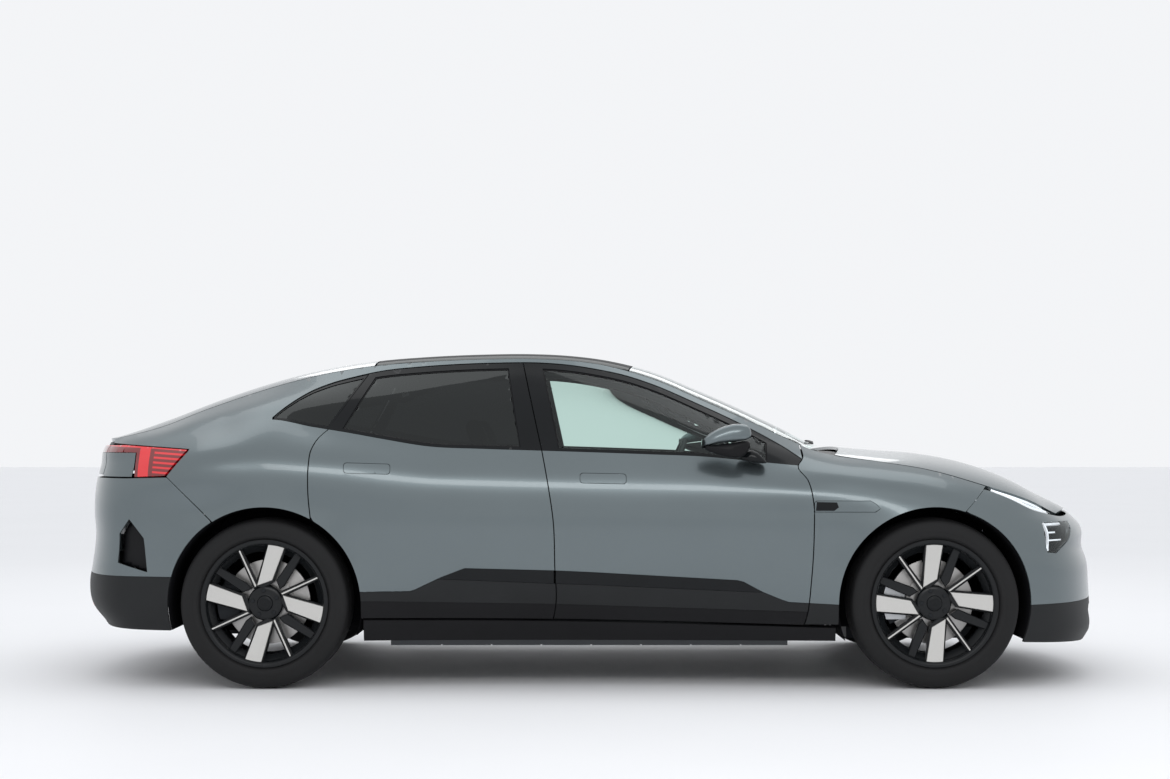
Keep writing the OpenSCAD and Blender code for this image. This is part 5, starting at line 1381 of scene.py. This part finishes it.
def fit_wheels(name, data, finish, slot, node=None, turned=True, sharp=35):
    """The wheel-frame mesh at all four corners. The right side's wheel is the pattern."""
    pts, faces = data
    pts = np.asarray(pts, float)
    for end, side, x, s, roll in WHEELS:
        a = math.radians(roll if turned else 0)
        q = np.stack([pts[:, 0] * math.cos(a) + pts[:, 2] * math.sin(a), pts[:, 1],
                      -pts[:, 0] * math.sin(a) + pts[:, 2] * math.cos(a)], 1)
        if s > 0:
            q = q * [-1, -1, 1]
        q = q + [x, s * WHEEL_Y, WHEEL_Z]
        piece = make(f"{name}_{end}_{side}", q, faces, finish, f"wheel_{end}_{side}", slot,
                     [f"{node}_{end}_{side}"] if node else ())
        piece.data.set_sharp_from_angle(angle=math.radians(sharp))


# %% Tyre
def tyre_profile():
    """Half the tyre's section, [radius, y], mirrored; grooves run round the tread."""
    r = 381.2
    outer = [(267.5, 105), (269, 107), (286, 107.5), (290, 112), (293, 119), (297, 123),
             (304, 126.4), (312, 127.4), (330, 127.2), (346, 125), (358, 121.5), (366, 117),
             (371, 111), (374.5, 104), (377, 92)]
    tread = [(379, 78), (380, 66), (380.4, 62), (372, 61), (372, 53), (380.8, 52), (381.1, 36),
             (r, 24), (372, 23), (372, 13), (r, 12), (r, 0)]
    half = outer + tread
    inner = [(364, 0), (364, 92), (356, 108), (340, 110), (312, 109), (306, 108), (267.5, 94)]
    left = [(a, -b) for a, b in half]
    return half + left[::-1][1:] + [(a, -b) for a, b in inner[::-1]] + inner[1:]


tyre_body = lathe(tyre_profile(), 144)
LUGS = 72
step = 360 / LUGS


def lug(y_line, r_line, a0, a1, lean):
    """A tread block on the shoulder: a strip of the profile raised over an angle."""
    pts, n = [], len(y_line)
    for lift in (0, 1):
        for a, k in ((a0, 0), (a1, 1)):
            for i, (y, r) in enumerate(zip(y_line, r_line)):
                t = math.radians(a + lean * (y - y_line[0]) / 60)
                far = r + (1.0 if lift else -2.5)
                pts.append((far * math.cos(t), y, far * math.sin(t)))
    idx = lambda l, k, i: (l * 2 + k) * n + i
    f = []
    for i in range(n - 1):
        f.append((idx(1, 0, i), idx(1, 0, i + 1), idx(1, 1, i + 1), idx(1, 1, i)))
        f.append((idx(0, 0, i), idx(1, 0, i), idx(1, 0, i + 1), idx(0, 0, i + 1))[::-1])
        f.append((idx(0, 1, i), idx(1, 1, i), idx(1, 1, i + 1), idx(0, 1, i + 1)))
    for i in (0, n - 1):
        q = (idx(0, 0, i), idx(1, 0, i), idx(1, 1, i), idx(0, 1, i))
        f.append(q if i == 0 else q[::-1])
    return np.array(pts), f


shoulder_y = [63, 74, 86, 96, 104, 110, 115]
shoulder_r = [379.8, 379.0, 377.4, 375.4, 373.2, 370.6, 367.5]
lug_out = lug(shoulder_y, shoulder_r, 0, step * 0.80, 1.4)
lug_in = (lug_out[0] * [1, -1, 1], [f[::-1] for f in lug_out[1]])
mid_rib = lug([26, 38, 51], [380.1, 380.0, 379.8], 0, step * 0.84, -2.2)
mid_rib_in = (mid_rib[0] * [1, -1, 1], [f[::-1] for f in mid_rib[1]])
blocks = joined(*[around(p, f, LUGS, rubber) for p, f in (lug_out, lug_in, mid_rib, mid_rib_in)])
fit_wheels("tyre_carcass", tyre_body, rubber, "tyre_rubber", "tyre", sharp=30)
fit_wheels("tyre_tread_blocks", blocks, rubber, "tyre_rubber", sharp=20)
ribs = joined(lathe(fillet([(318, -127.8), (320, -128.0), (322, -127.8), (320, -126)], 0.3), 96),
              lathe(fillet([(300, -125.5), (303, -126.6), (305, -126.6), (303, -124)], 0.3), 96))
fit_wheels("tyre_side_ribs", (ribs[0], ribs[1]), rubber, "tyre_rubber")
print("tyres made, blocks a tyre:", 4 * LUGS)

# %% Rim barrel, disc and hub
barrel = fillet([(285, -114), (285, -108), (267, -106), (267, -76), (241, -60), (241, 52),
                 (267, 74), (267, 106), (285, 108), (285, 114), (272, 118), (259, 104), (257, 80),
                 (231, 56), (231, -60), (258, -84), (262, -104), (271, -113)], 3)
rim_barrel = lathe(barrel, 120)
hub = lathe(fillet([(0.5, -99), (30, -99), (33, -96), (36, -90), (62, -88), (74, -84), (80, -74),
                    (80, -46), (60, -40), (0.5, -40)], 3), 64)
fit_wheels("rim_barrel", joined(rim_barrel, hub), alloy_black, "wheel_alloy", "rim")
cap = lathe(fillet([(0.5, -101.5), (24, -101.5), (29, -98.5), (29, -96), (0.5, -96)], 1.5), 48)
fit_wheels("hub_cap", cap, gloss_black, "wheel_alloy")
disc = lathe(fillet([(190, 8.5), (190, -4), (120, -4), (120, -30), (40, -30), (40, -20), (110, -20),
                     (112, 8), (150, 8.5)], 1.5), 96)
disc_back = lathe([(190, 8.0), (190, 14), (190, 19.5), (112, 19.5), (112, 8.0)], 96)
fit_wheels("brake_disc", joined(disc, disc_back), disc_metal, "bright_metal")

# %% Blades and spokes
blade = [polar(286, -8.5), polar(287, -4), polar(287.5, 1), polar(287, 7), polar(86, 36),
         polar(108, -6.5)]
blade_pts, blade_faces = prism(blade[::-1], 0.0, 14.0, 2.0)
near = np.clip((np.hypot(blade_pts[:, 0], blade_pts[:, 2]) - 87) / 199, 0, 1)
blade_pts[:, 1] += -96 - 8 * near * (1.6 - near)
line = [polar(287, 37.6), polar(287, 36.1), polar(87, 37.5), polar(84, 43)]
line_pts, line_faces = prism(line[::-1], 0.0, 16.0, 1.0)
near = np.clip((np.hypot(line_pts[:, 0], line_pts[:, 2]) - 87) / 199, 0, 1)
line_pts[:, 1] += -95 - 6 * near
arc_a = np.linspace(-53.5, -7, 24)
arc = [polar(287.5, a) for a in arc_a] + [polar(281, a) for a in arc_a[::-1]]
arc_pts, arc_faces = prism(arc, -103.0, -92.0, 0.8)
bright = joined(*[around(p, f, 4, machined) for p, f in
                  ((blade_pts, blade_faces), (line_pts, line_faces), (arc_pts, arc_faces))])
fit_wheels("rim_bright_faces", bright, machined, "wheel_alloy")
under = [polar(283, -10), polar(283, 8.5), polar(88, 42), polar(66, 20), polar(100, -11)]
under_pts, under_faces = prism(under[::-1], -86.0, -56.0, 4)
line_back = [polar(280, 39.5), polar(280, 34.5), polar(80, 30), polar(80, 50)]
lb_pts, lb_faces = prism(line_back[::-1], -88.0, -62.0, 3)
dark = [polar(274, -27), polar(270, -19.5), polar(112, -14), polar(88, -36), polar(118, -37)]
dark_pts, dark_faces = prism(dark, -84.0, -58.0, 4)
ring = lathe(fillet([(284, -103), (292, -108), (296, -106), (290, -96), (262, -84), (268, -92)], 2),
             120)
black = joined(*[around(p, f, 4, alloy_black) for p, f in
                 ((under_pts, under_faces), (lb_pts, lb_faces), (dark_pts, dark_faces))])
fit_wheels("rim_dark_spokes", joined(black, ring), alloy_black, "wheel_alloy")

# %% Wheel bolts
bolt = lathe(fillet([(0.4, -93), (7.5, -93), (9, -91), (9, -78), (0.4, -78)], 1.2), 12)
bolt = (bolt[0] + [57, 0, 0], bolt[1])
bolts = around(bolt[0], bolt[1], 5, cast_black, 36)
fit_wheels("wheel_bolts", bolts, cast_black, "bright_metal")
print("rims made")

# %% [markdown]
# ## Finishes for what stays
# The floor, frames, suspension and cabin solids are already the right shape, so their
# material slots take the finishes made above.

# %% Carried-over nodes
STAYS = {"floor": inner_metal, "battery_pack": battery_case, "front_frame": cast_black,
         "door_hinges": bright_metal, "arch_liners": felt_black, "cowl": satin_black,
         "front_suspension": cast_black, "rear_suspension": cast_black, "drive_units": bright_metal,
         "dashboard": cabin_plastic, "steering_wheel": cabin_plastic, "knuckle_left": bright_metal,
         "knuckle_right": bright_metal}
for name, finish in STAYS.items():
    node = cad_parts[name]
    if not node.material_slots:
        node.data.materials.append(finish)
    for place in node.material_slots:
        place.material = finish
print("nodes that stay:", len(STAYS))

# %% [markdown]
# ## Inner body
# Behind the skins stand the closed sections that carry the doors: sills, hinge pillars,
# the middle post, the rear wheel house and the roof's headers. Each is the hull of a few
# blocks, as in the CAD source, with its edges rolled.


# %% Hulls and lofts
def hull_piece(name, groups, finish, body, slot, roll=3.0, replaced=()):
    """One piece of closed hulls. A group is a list of blocks, each from a low to a high corner."""
    pts, faces = [], []
    for group in groups:
        work = bmesh.new()
        for lo, hi in group:
            for q in itertools.product(*zip(lo, hi)):
                work.verts.new(q)
        made = bmesh.ops.convex_hull(work, input=work.verts)
        spare = made["geom_interior"] + made["geom_unused"]
        drop = {v for v in spare if isinstance(v, bmesh.types.BMVert)}
        bmesh.ops.delete(work, geom=list(drop), context="VERTS")
        bmesh.ops.dissolve_limit(work, angle_limit=0.02, verts=work.verts, edges=work.edges)
        bmesh.ops.recalc_face_normals(work, faces=work.faces)
        work.verts.index_update()
        at = len(pts)
        pts += [tuple(v.co) for v in work.verts]
        faces += [tuple(v.index + at for v in f.verts) for f in work.faces]
        work.free()
    return press(make(name, np.array(pts), faces, finish, body, slot, replaced), 0, roll, 20)


def turned(group, s):
    """The group on side s of the car."""
    return [((lo[0], min(s * lo[1], s * hi[1]), lo[2]),
             (hi[0], max(s * lo[1], s * hi[1]), hi[2])) for lo, hi in group]


INNER_SIDE = [[((-1010, 790, 215), (1050, 852, 300)), ((-1010, 790, 215), (1050, 838, 390))],
              [((992, 800, 300), (1052, 865, 301)), ((992, 800, 640), (1052, 885, 641))],
              [((992, 800, 640), (1052, 885, 860)), ((985, 800, 960), (1035, 850, 980))],
              [((975, 800, 960), (1035, 850, 980)), ((925, 795, 1030), (965, 835, 1034))],
              [((-240, 800, 380), (-130, 838, 381)), ((-235, 800, 880), (-150, 838, 881))],
              [((-235, 800, 880), (-150, 838, 881)), ((-275, 790, 1060), (-205, 815, 1061))],
              [((-275, 790, 1060), (-205, 815, 1061)), ((-340, 620, 1450), (-280, 640, 1466))],
              [((-1015, 790, 300), (-985, 850, 380)), ((-1040, 790, 600), (-1000, 850, 602))],
              [((-1040, 790, 600), (-1000, 850, 602)), ((-1120, 790, 740), (-1080, 860, 742))],
              [((-1120, 790, 740), (-1080, 860, 742)), ((-1260, 780, 830), (-1200, 860, 832))],
              [((-1290, 780, 830), (-1210, 880, 832)), ((-1330, 760, 1120), (-1230, 820, 1150))],
              [((-1500, 700, 1150), (-1240, 830, 1160)), ((-1300, 800, 900), (-1240, 900, 960))],
              [((-1530, 540, 1280), (-1440, 565, 1300)), ((-1500, 700, 1150), (-1400, 790, 1160))]]
for side, s in SIDES:
    hull_piece(f"inner_side_{side}", [turned(g, s) for g in INNER_SIDE], cabin_plastic, "body",
               "body_paint")


def sweep(rings):
    """Closed loft through rings of equal length, ends capped."""
    n, m = len(rings), len(rings[0])
    faces = [(i * m + j, (i + 1) * m + j, (i + 1) * m + (j + 1) % m, i * m + (j + 1) % m)
             for i in range(n - 1) for j in range(m)]
    faces += [tuple(range(m)), tuple(range((n - 1) * m + m - 1, (n - 1) * m - 1, -1))]
    return np.concatenate([np.asarray(r, float) for r in rings]), faces


def solid(name, points, faces, finish, body, slot, roll=1.5, replaced=(), angle=40):
    """A closed piece with its faces turned outwards."""
    piece = make(name, points, faces, finish, body, slot, replaced)
    work = bmesh.new()
    work.from_mesh(piece.data)
    bmesh.ops.recalc_face_normals(work, faces=work.faces)
    work.to_mesh(piece.data)
    work.free()
    return press(piece, 0, roll, angle)


# Rails run under the painted rail, over the doors, and headers join them.
rail_stations = np.linspace(930, -1450, 60)
for side, s in SIDES:
    rings = []
    for x in rail_stations:
        zg, ze = float(glass_top(x)), float(edge_z(x))
        yg, ye = float(side_y(x, zg + 3)), float(edge_half(x))
        rings.append([(x, s * (yg - 8), zg + 2), (x, s * (ye - 6), ze - 8),
                      (x, s * (ye - 60), ze - 12),
                      (x, s * (yg - 64), zg - 30), (x, s * (yg - 34), zg - 30)])
    p, f = sweep(rings)
    solid(f"roof_rail_inner_{side}", p, f, cabin_plastic, "body", "body_paint", 2.0, angle=60)
for name, x0, drop in (("front", 205.0, 12), ("middle", -420.0, 12), ("rear", -859.0, 12)):
    y = np.linspace(-1, 1, 25) * (float(edge_half(x0)) - 26)
    w = 28 if name != "middle" else 40
    rings = [[(x0 - w, v, float(top_z(x0 - w, v)) - drop),
              (x0 + w, v, float(top_z(x0 + w, v)) - drop),
              (x0 + w, v, float(top_z(x0 + w, v)) - drop - 20),
              (x0 - w, v, float(top_z(x0 - w, v)) - drop - 20)] for v in y]
    p, f = sweep(rings)
    solid(f"roof_header_{name}", p, f, cabin_plastic, "body", "body_paint", 3.0)
print("inner body made")

# %% [markdown]
# ## Door trims
# Inside each door is an inner shell, a trim panel, a padded armrest and a speaker grille.


# %% Door trims
def door_trim(which, left, right):
    low = lambda x: np.maximum(door_low(x) + 30, 330)
    high = lambda x: belt(x) - 12
    body = f"{which}_door_SIDE"
    inset = band(lambda z: left(z) + 26, lambda z: right(z) - 26, low, high)
    side_panel(f"door_shell_{which}", inset, body, "body_paint", inner_metal, 38, roll=3, step=34,
               sink=6)
    trim = band(lambda z: left(z) + 46, lambda z: right(z) - 46, lambda x: low(x) + 24,
                lambda x: high(x) - 2)
    side_panel(f"door_trim_{which}", trim, body, "cabin_grey", cabin_plastic, 16, roll=5, step=34,
               sink=46)
    x0, x1 = (60, 560) if which == "front" else (-900, -420)
    rest = slot_shape(x0, x1, 676, 742, 30, 0.03)
    side_panel(f"door_armrest_{which}", rest, body, "cabin_grey", seat_cover, 34, roll=8, step=26,
               sink=62)
    grille = slot_shape(x0 + 330, x0 + 450, 470, 590, 56)
    side_panel(f"door_speaker_{which}", grille, body, "black_trim", satin_black, 5, roll=1.5,
               step=18, sink=62)


for door in DOORS:
    door_trim(*door)
print("door trims made")

# %% [markdown]
# ## Seats
# A pad starts as rounded blocks melted into one skin by a voxel remesh. Cloth with air
# pressure inside then plumps it for twenty steps, and no point may move further than a cap.


# %% Padding
CLOTH_STEPS = 20


def pad_block(lo, hi, r, tilt=0.0, pivot=(0, 0)):
    """A block with rounded edges, tilted about a cross axis at pivot (x, z)."""
    work = bmesh.new()
    bmesh.ops.create_cube(work, size=1.0)
    lo, hi = np.array(lo, float), np.array(hi, float)
    for v in work.verts:
        v.co = Vector((np.array(v.co) + 0.5) * (hi - lo) + lo)
    bmesh.ops.bevel(work, geom=list(work.edges), offset=r, segments=4, profile=0.5, affect="EDGES")
    work.verts.index_update()
    p = np.array([v.co[:] for v in work.verts])
    f = [tuple(v.index for v in q.verts) for q in work.faces]
    work.free()
    a = math.radians(tilt)
    x, y, z = p.T
    p = np.stack([pivot[0] + x * math.cos(a) + z * math.sin(a), y,
                  pivot[1] - x * math.sin(a) + z * math.cos(a)], 1)
    return p, f


def cushion(name, blocks, body, finish, voxel=17.0, cap=24.0, replaced=()):
    """Pads melted together, plumped by a cloth simulation, then smoothed once."""
    p, f = joined(*blocks)
    raw = bpy.data.meshes.new("raw_pad")
    raw.from_pydata((p * MM).tolist(), [], f)
    rough = bpy.data.objects.new("raw_pad", raw)
    bpy.context.collection.objects.link(rough)
    melt = rough.modifiers.new("melt", "REMESH")
    melt.mode = "VOXEL"
    melt.voxel_size = voxel * MM
    graph = bpy.context.evaluated_depsgraph_get()
    graph.update()
    mesh = bpy.data.meshes.new_from_object(rough.evaluated_get(graph))
    bpy.data.objects.remove(rough)
    mesh.name = name
    piece = bpy.data.objects.new(name, mesh)
    bpy.context.collection.objects.link(piece)
    rest = np.array([v.co[:] for v in mesh.vertices])
    cloth = piece.modifiers.new("cloth", "CLOTH")
    cloth.settings.use_pressure = True
    cloth.settings.uniform_pressure_force = 4.0
    cloth.settings.effector_weights.gravity = 0.0
    cloth.settings.quality = 5
    scene = bpy.context.scene
    for step in range(1, CLOTH_STEPS + 1):
        scene.frame_set(step)
    graph = bpy.context.evaluated_depsgraph_get()
    soft = piece.evaluated_get(graph).to_mesh()
    moved = np.array([v.co[:] for v in soft.vertices]) - rest
    far = np.linalg.norm(moved, axis=1, keepdims=True)
    rest = rest + moved * np.minimum(1, cap * MM / np.maximum(far, 1e-9))
    piece.modifiers.remove(cloth)
    scene.frame_set(1)
    for v, q in zip(mesh.vertices, rest):
        v.co = Vector(q)
    mesh.materials.clear()
    mesh.materials.append(finish)
    mesh.shade_smooth()
    finer = piece.modifiers.new("finer", "SUBSURF")
    finer.levels = finer.render_levels = 1
    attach(piece, body)
    if replaced:
        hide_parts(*replaced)
    return piece


SEAT_X, SEAT_Y, SEAT_W = -80.0, 370.0, 252.0


def moved(block, y):
    return block[0] + [0, y, 0], block[1]


for side, s in SIDES:
    y = s * SEAT_Y
    base = [pad_block((SEAT_X - 222, -SEAT_W, 440), (SEAT_X + 282, SEAT_W, 540), 36)]
    base += [pad_block((SEAT_X - 200, k * 225 - 27, 470), (SEAT_X + 240, k * 225 + 27, 568),
                       24) for k in (-1, 1)]
    at = (SEAT_X - 210, 470)
    back = [pad_block((-58, -SEAT_W, 20), (38, SEAT_W, 610), 40, -22, at)]
    back += [pad_block((-20, k * 222 - 30, 70), (82, k * 222 + 30, 520), 26, -22,
                       at) for k in (-1, 1)]
    head = [pad_block((-28, -128, 628), (44, 128, 792), 34, -22, at)]
    cushion(f"seat_base_{side}", [moved(b, y) for b in base], "body", seat_cover,
            15, 16, ["front_seats"] if s > 0 else ())
    cushion(f"seat_back_{side}", [moved(b, y) for b in back], "body", seat_cover,
            17, 16)
    cushion(f"seat_head_{side}", [moved(b, y) for b in head], "body", seat_cover,
            12, 10)
    shell = pad_block((-74, -SEAT_W + 12, 30), (-52, SEAT_W - 12, 590), 9, -22, at)
    solid(f"seat_shell_{side}", moved(shell, y)[0], shell[1], satin_black, "body", "cabin_grey", 0)
    hull_piece(f"seat_rails_{side}", [[((SEAT_X - 200, y + k * 170 - 20, 291),
                                        (SEAT_X + 230, y + k * 170 + 20, 300)),
                                       ((SEAT_X - 180, y + k * 170 - 16, 430),
                                        (SEAT_X + 210, y + k * 170 + 16, 450))]
                                      for k in (-1, 1)], satin_black, "body", "cabin_grey")
    p, f = lathe([(0.2, 0), (6, 0), (6, 70), (0.2, 70)], 16)
    a = math.radians(-22)
    along, up = p[:, 0], p[:, 1] + 590
    stems = [(np.stack([at[0] + along * math.cos(a) + up * math.sin(a), p[:, 2] + k + y,
                        at[1] - along * math.sin(a) + up * math.cos(a)], 1), f) for k in (-45, 45)]
    p, f = joined(*stems)
    solid(f"headrest_posts_{side}", p, f, bright_metal, "body", "bright_metal", 0)

at = (-930.0, 504.0)
rear_base = [pad_block((-945, k * 318 - 308, 412), (-630, k * 318 + 308, 545), 44) for k in (-1, 1)]
rear_back = [pad_block((-45, k * 310 - 302, 10), (62, k * 310 + 302, 548), 42, -28,
                       at) for k in (-1, 1)]
cushion("rear_seat_base", rear_base, "body", seat_cover, 20, 16, ["rear_seat"])
cushion("rear_seat_back", rear_back, "body", seat_cover, 21, 16)
for k, y in enumerate((-420, 0, 420)):
    cushion(f"rear_head_{k}", [moved(pad_block((-18, -112, 560), (36, 112, 700), 24, -28, at), y)],
            "body", seat_cover, 12, 8)
hull_piece("rear_seat_stand", [[((-930, k * 430 - 130, 291),
                                 (-690, k * 430 + 130, 430))] for k in (-1, 1)],
           satin_black, "body", "cabin_grey")
print("seats made")

# %% Dashboard parts
display = pad_block((-4, -150, -40), (4, 150, 40), 3.5, -20, (700, 1000))
for name, (p, f), finish, slot in (
        ("middle_screen", pad_block((553, -186, 806), (559.5, 186, 994), 3), gloss_black,
         "black_trim"),
        ("driver_display", moved(display, SEAT_Y), gloss_black, "black_trim"),
        ("dash_top_pad", pad_block((700, -740, 966), (905, 740, 975), 4), seat_cover, "cabin_grey"),
        ("console_lid", pad_block((-60, -86, 556), (480, 86, 570), 6), gloss_black, "cabin_grey"),
        ("parcel_shelf", pad_block((-1330, -560, 900), (-1130, 560, 915), 6), cabin_plastic,
         "cabin_grey")):
    solid(name, p, f, finish, "body", slot, 0)
print("dashboard parts made")

# %% [markdown]
# ## Mirrors, lamps and small parts


# %% Mirrors
def pillow(outline, y0, y1, soft=0.35, n=9):
    """A rounded slab: an outline in side view lofted from y0 to y1, drawn in at both ends."""
    mid = np.asarray(outline, float).mean(0)
    rings = []
    for t in np.linspace(-1, 1, n):
        k = (1 - abs(t) ** 3) ** soft if abs(t) < 1 else 0.25
        p = mid + (outline - mid) * max(k, 0.3)
        rings.append(np.stack([p[:, 0], np.full(len(p), (y0 + y1) / 2 + t * (y1 - y0) / 2),
                               p[:, 1]], 1))
    return sweep(rings)


def round_loop(points, n=40):
    """A closed smooth loop through corner points (Chaikin, three times)."""
    p = np.asarray(points, float)
    for _ in range(3):
        q = np.roll(p, -1, 0)
        p = np.stack([p * 0.75 + q * 0.25, p * 0.25 + q * 0.75], 1).reshape(-1, 2)
    return p


CAP = round_loop([(482, 1092), (500, 1130), (565, 1168), (640, 1188), (698, 1176), (708, 1140),
                  (700, 1116), (640, 1106), (560, 1098), (500, 1086)])
UNDER = round_loop([(488, 1088), (500, 1068), (560, 1044), (620, 1030), (672, 1036), (702, 1078),
                    (700, 1112), (640, 1102), (560, 1094), (510, 1088)])
GLASS = round_loop([(484, 1078), (484, 1110), (489, 1122), (493, 1110), (493, 1078), (489, 1070)])
FOOT = round_loop([(640, 1036), (700, 1074), (742, 1056), (786, 1012), (770, 1006), (690, 1012)])
for side, s in SIDES:
    for name, loop, y0, y1, finish, slot, old in (
            ("mirror_cap", CAP, 974, 1056, paint, "body_paint", [f"mirror_{side}"]),
            ("mirror_under", UNDER, 972, 1054, satin_black, "black_trim", []),
            ("mirror_glass", GLASS, 982, 1048, gloss_black, "black_trim", []),
            ("mirror_foot", FOOT, 912, 990, gloss_black, "black_trim", [])):
        p, f = pillow(loop, y0, y1)
        solid(f"{name}_{side}", p * [1, s, 1], f, finish, f"front_door_{side}", slot, 0, old)
print("mirrors made")


# %% Headlamps
a = lamp_rear_angle + (90 - lamp_rear_angle) * np.linspace(0.012, 0.33, 30)
low = fascia_top(a) + 1.0
high = np.maximum(low + 9, edge_z(end_point(True, a, low)[0]) - 5.5)
u = nose_map.u(a)


def lamp_loop(share_low, share_high, first=0, last=30):
    k = slice(first, last)
    return np.concatenate([np.stack([u[k], (low + (high - low) * share_low)[k]], 1),
                           np.stack([u[k], (low + (high - low) * share_high)[k]], 1)[::-1]])


for side, s in SIDES:
    wrap_piece(f"headlamp_cover_{side}", nose_map, lamp_loop(0, 1) * [s, 1], "body", "lamp_clear",
               lamp_cover, 0, 0, ["headlamps"] if s > 0 else (), sink=0.8, step=12)
    wrap_piece(f"headlamp_bowl_{side}", nose_map, lamp_loop(-0.15, 1.05) * [s, 1], "body",
               "black_trim", gloss_black, 3, 0, sink=26, step=14)
    for name, lo, hi, sink in (("lower", 0.06, 0.42, 7), ("upper", 0.72, 0.93, 5)):
        wrap_piece(f"headlamp_{name}_{side}", nose_map, lamp_loop(lo, hi, 1, 29) * [s, 1], "body",
                   "lamp_clear", light_white, 8, 0.8, sink=sink, step=8)
print("headlamps made")

# %% Reflectors and plates
plate_blank = plastic_finish("plate_blank", (0.62, 0.62, 0.6), 0.4, 700, 0.02)
for end, wrap, z0, z1 in (("front", nose_map, 444, 552), ("rear", tail_map, 700, 812)):
    loop = np.array([[-260, z0], [260, z0], [260, z1], [-260, z1]], float)
    wrap_piece(f"plate_{end}", wrap, loop, "body", "bright_metal", plate_blank, 4, 1.0, sink=-2.5,
               step=24)
for side, s in SIDES:
    k = float(tail_map.u(60.0))
    loop = np.array([[k, 336], [k + 110, 336], [k + 110, 350], [k, 350]], float) * [s, 1]
    # The reflector's finish emits light: a painted glow, since a real reflector only sends light
    # back.
    wrap_piece(f"rear_reflector_{side}", tail_map, loop, "body", "lamp_red", reflector_painted_glow, 5, 1.0,
               sink=-1.0, step=12)


# %% Wipers
def wiper(name, c0, c1, lift):
    c = np.linspace(c0, c1, 26)
    half = float(edge_half(1060.0)) - 10
    x = np.array([float(screen_foot(abs(v))) for v in c]) - np.linspace(16, 44, 26)
    y = c * half
    z = top_z(x, y) + lift
    w, h = np.linspace(9, 5, 26), np.linspace(6, 4, 26)
    rings = [[(x[i] - w[i], y[i], z[i] - h[i]), (x[i] + w[i], y[i], z[i] - h[i]),
              (x[i] + w[i] * 0.6, y[i], z[i] + h[i]),
              (x[i] - w[i] * 0.6, y[i], z[i] + h[i])] for i in range(26)]
    p, f = sweep(rings)
    solid(name, p, f, satin_black, "body", "black_trim", 1.0)


wiper("wiper_left", 0.80, 0.02, 8)
wiper("wiper_right", 0.0, -0.78, 8)

# %% Brake calipers
profile = fillet([(128, -26), (216, -26), (218, 42), (128, 42), (128, 23), (194, 23), (194, -8),
                  (128, -8)], 4)
sweep_a = np.radians(np.linspace(152, 208, 22))
rings = [np.stack([profile[:, 0] * math.cos(v), profile[:, 1], profile[:, 0] * math.sin(v)],
                  1) for v in sweep_a]
caliper, caliper_faces = sweep(rings)
for end, x in (("front", FRONT_X), ("rear", REAR_X)):
    for side, s in SIDES:
        body = f"steer_knuckle_{side}" if end == "front" else "body"
        flip = [1, -s, 1]
        solid(f"brake_caliper_{end}_{side}", caliper * flip + [x, s * WHEEL_Y, WHEEL_Z],
              caliper_faces, cast_black, body, "bright_metal", 1.5)
print("small parts made")


# %% Lid insides
def arm(name, outline, x, z, y, half, body, finish):
    p = np.asarray(outline, float) + [x, z]
    rings = [np.stack([p[:, 0], np.full(len(p), y + k * half), p[:, 1]], 1) for k in (-1, 1)]
    pts, faces = sweep(rings)
    solid(name, pts, faces, finish, body, "body_paint", 1.5)


neck = [(13, -4), (-8, -120), (-62, -140), (-150, -124), (-208, -14), (-215, 18), (-190, 24),
        (-182, 0), (-134, -98), (-70, -112), (-34, -100), (-13, 4), (-10, 10), (0, 14), (10, 10)]
goose = [(-12, -8), (-14, 4), (-6, 13), (80, 16), (150, 56), (260, 50), (260, 34), (158, 32),
         (96, -4), (0, -13)]
for side, s in SIDES:
    arm(f"tailgate_neck_{side}", neck, -910, 1441, s * 330, 7, "tailgate", cast_black)
    arm(f"bonnet_arm_{side}", goose, 1062, 975, s * 715, 6, "bonnet", cast_black)
inner_deck = across(lambda c: ROOF_END - 60 + 0 * c, lambda c: deck_tail(c) + 60,
                    mix(ROOF_END - 60, deck_tail(1.0) + 60, t), deck_w - 60)
top_piece("tailgate_inner", inner_deck, "tailgate", "body_paint", cabin_plastic, 14, 3, sink=24,
          step=40)
inner_bonnet = across(lambda c: bonnet_nose(c) - 60, lambda c: cowl_x(c) + 60,
                      mix(bonnet_nose(1.0) - 60, cowl_x(1.0) + 60, t), bonnet_w - 60)
top_piece("bonnet_inner", inner_bonnet, "bonnet", "body_paint", inner_metal, 6, 3, sink=16, step=40)
print("lid insides made")
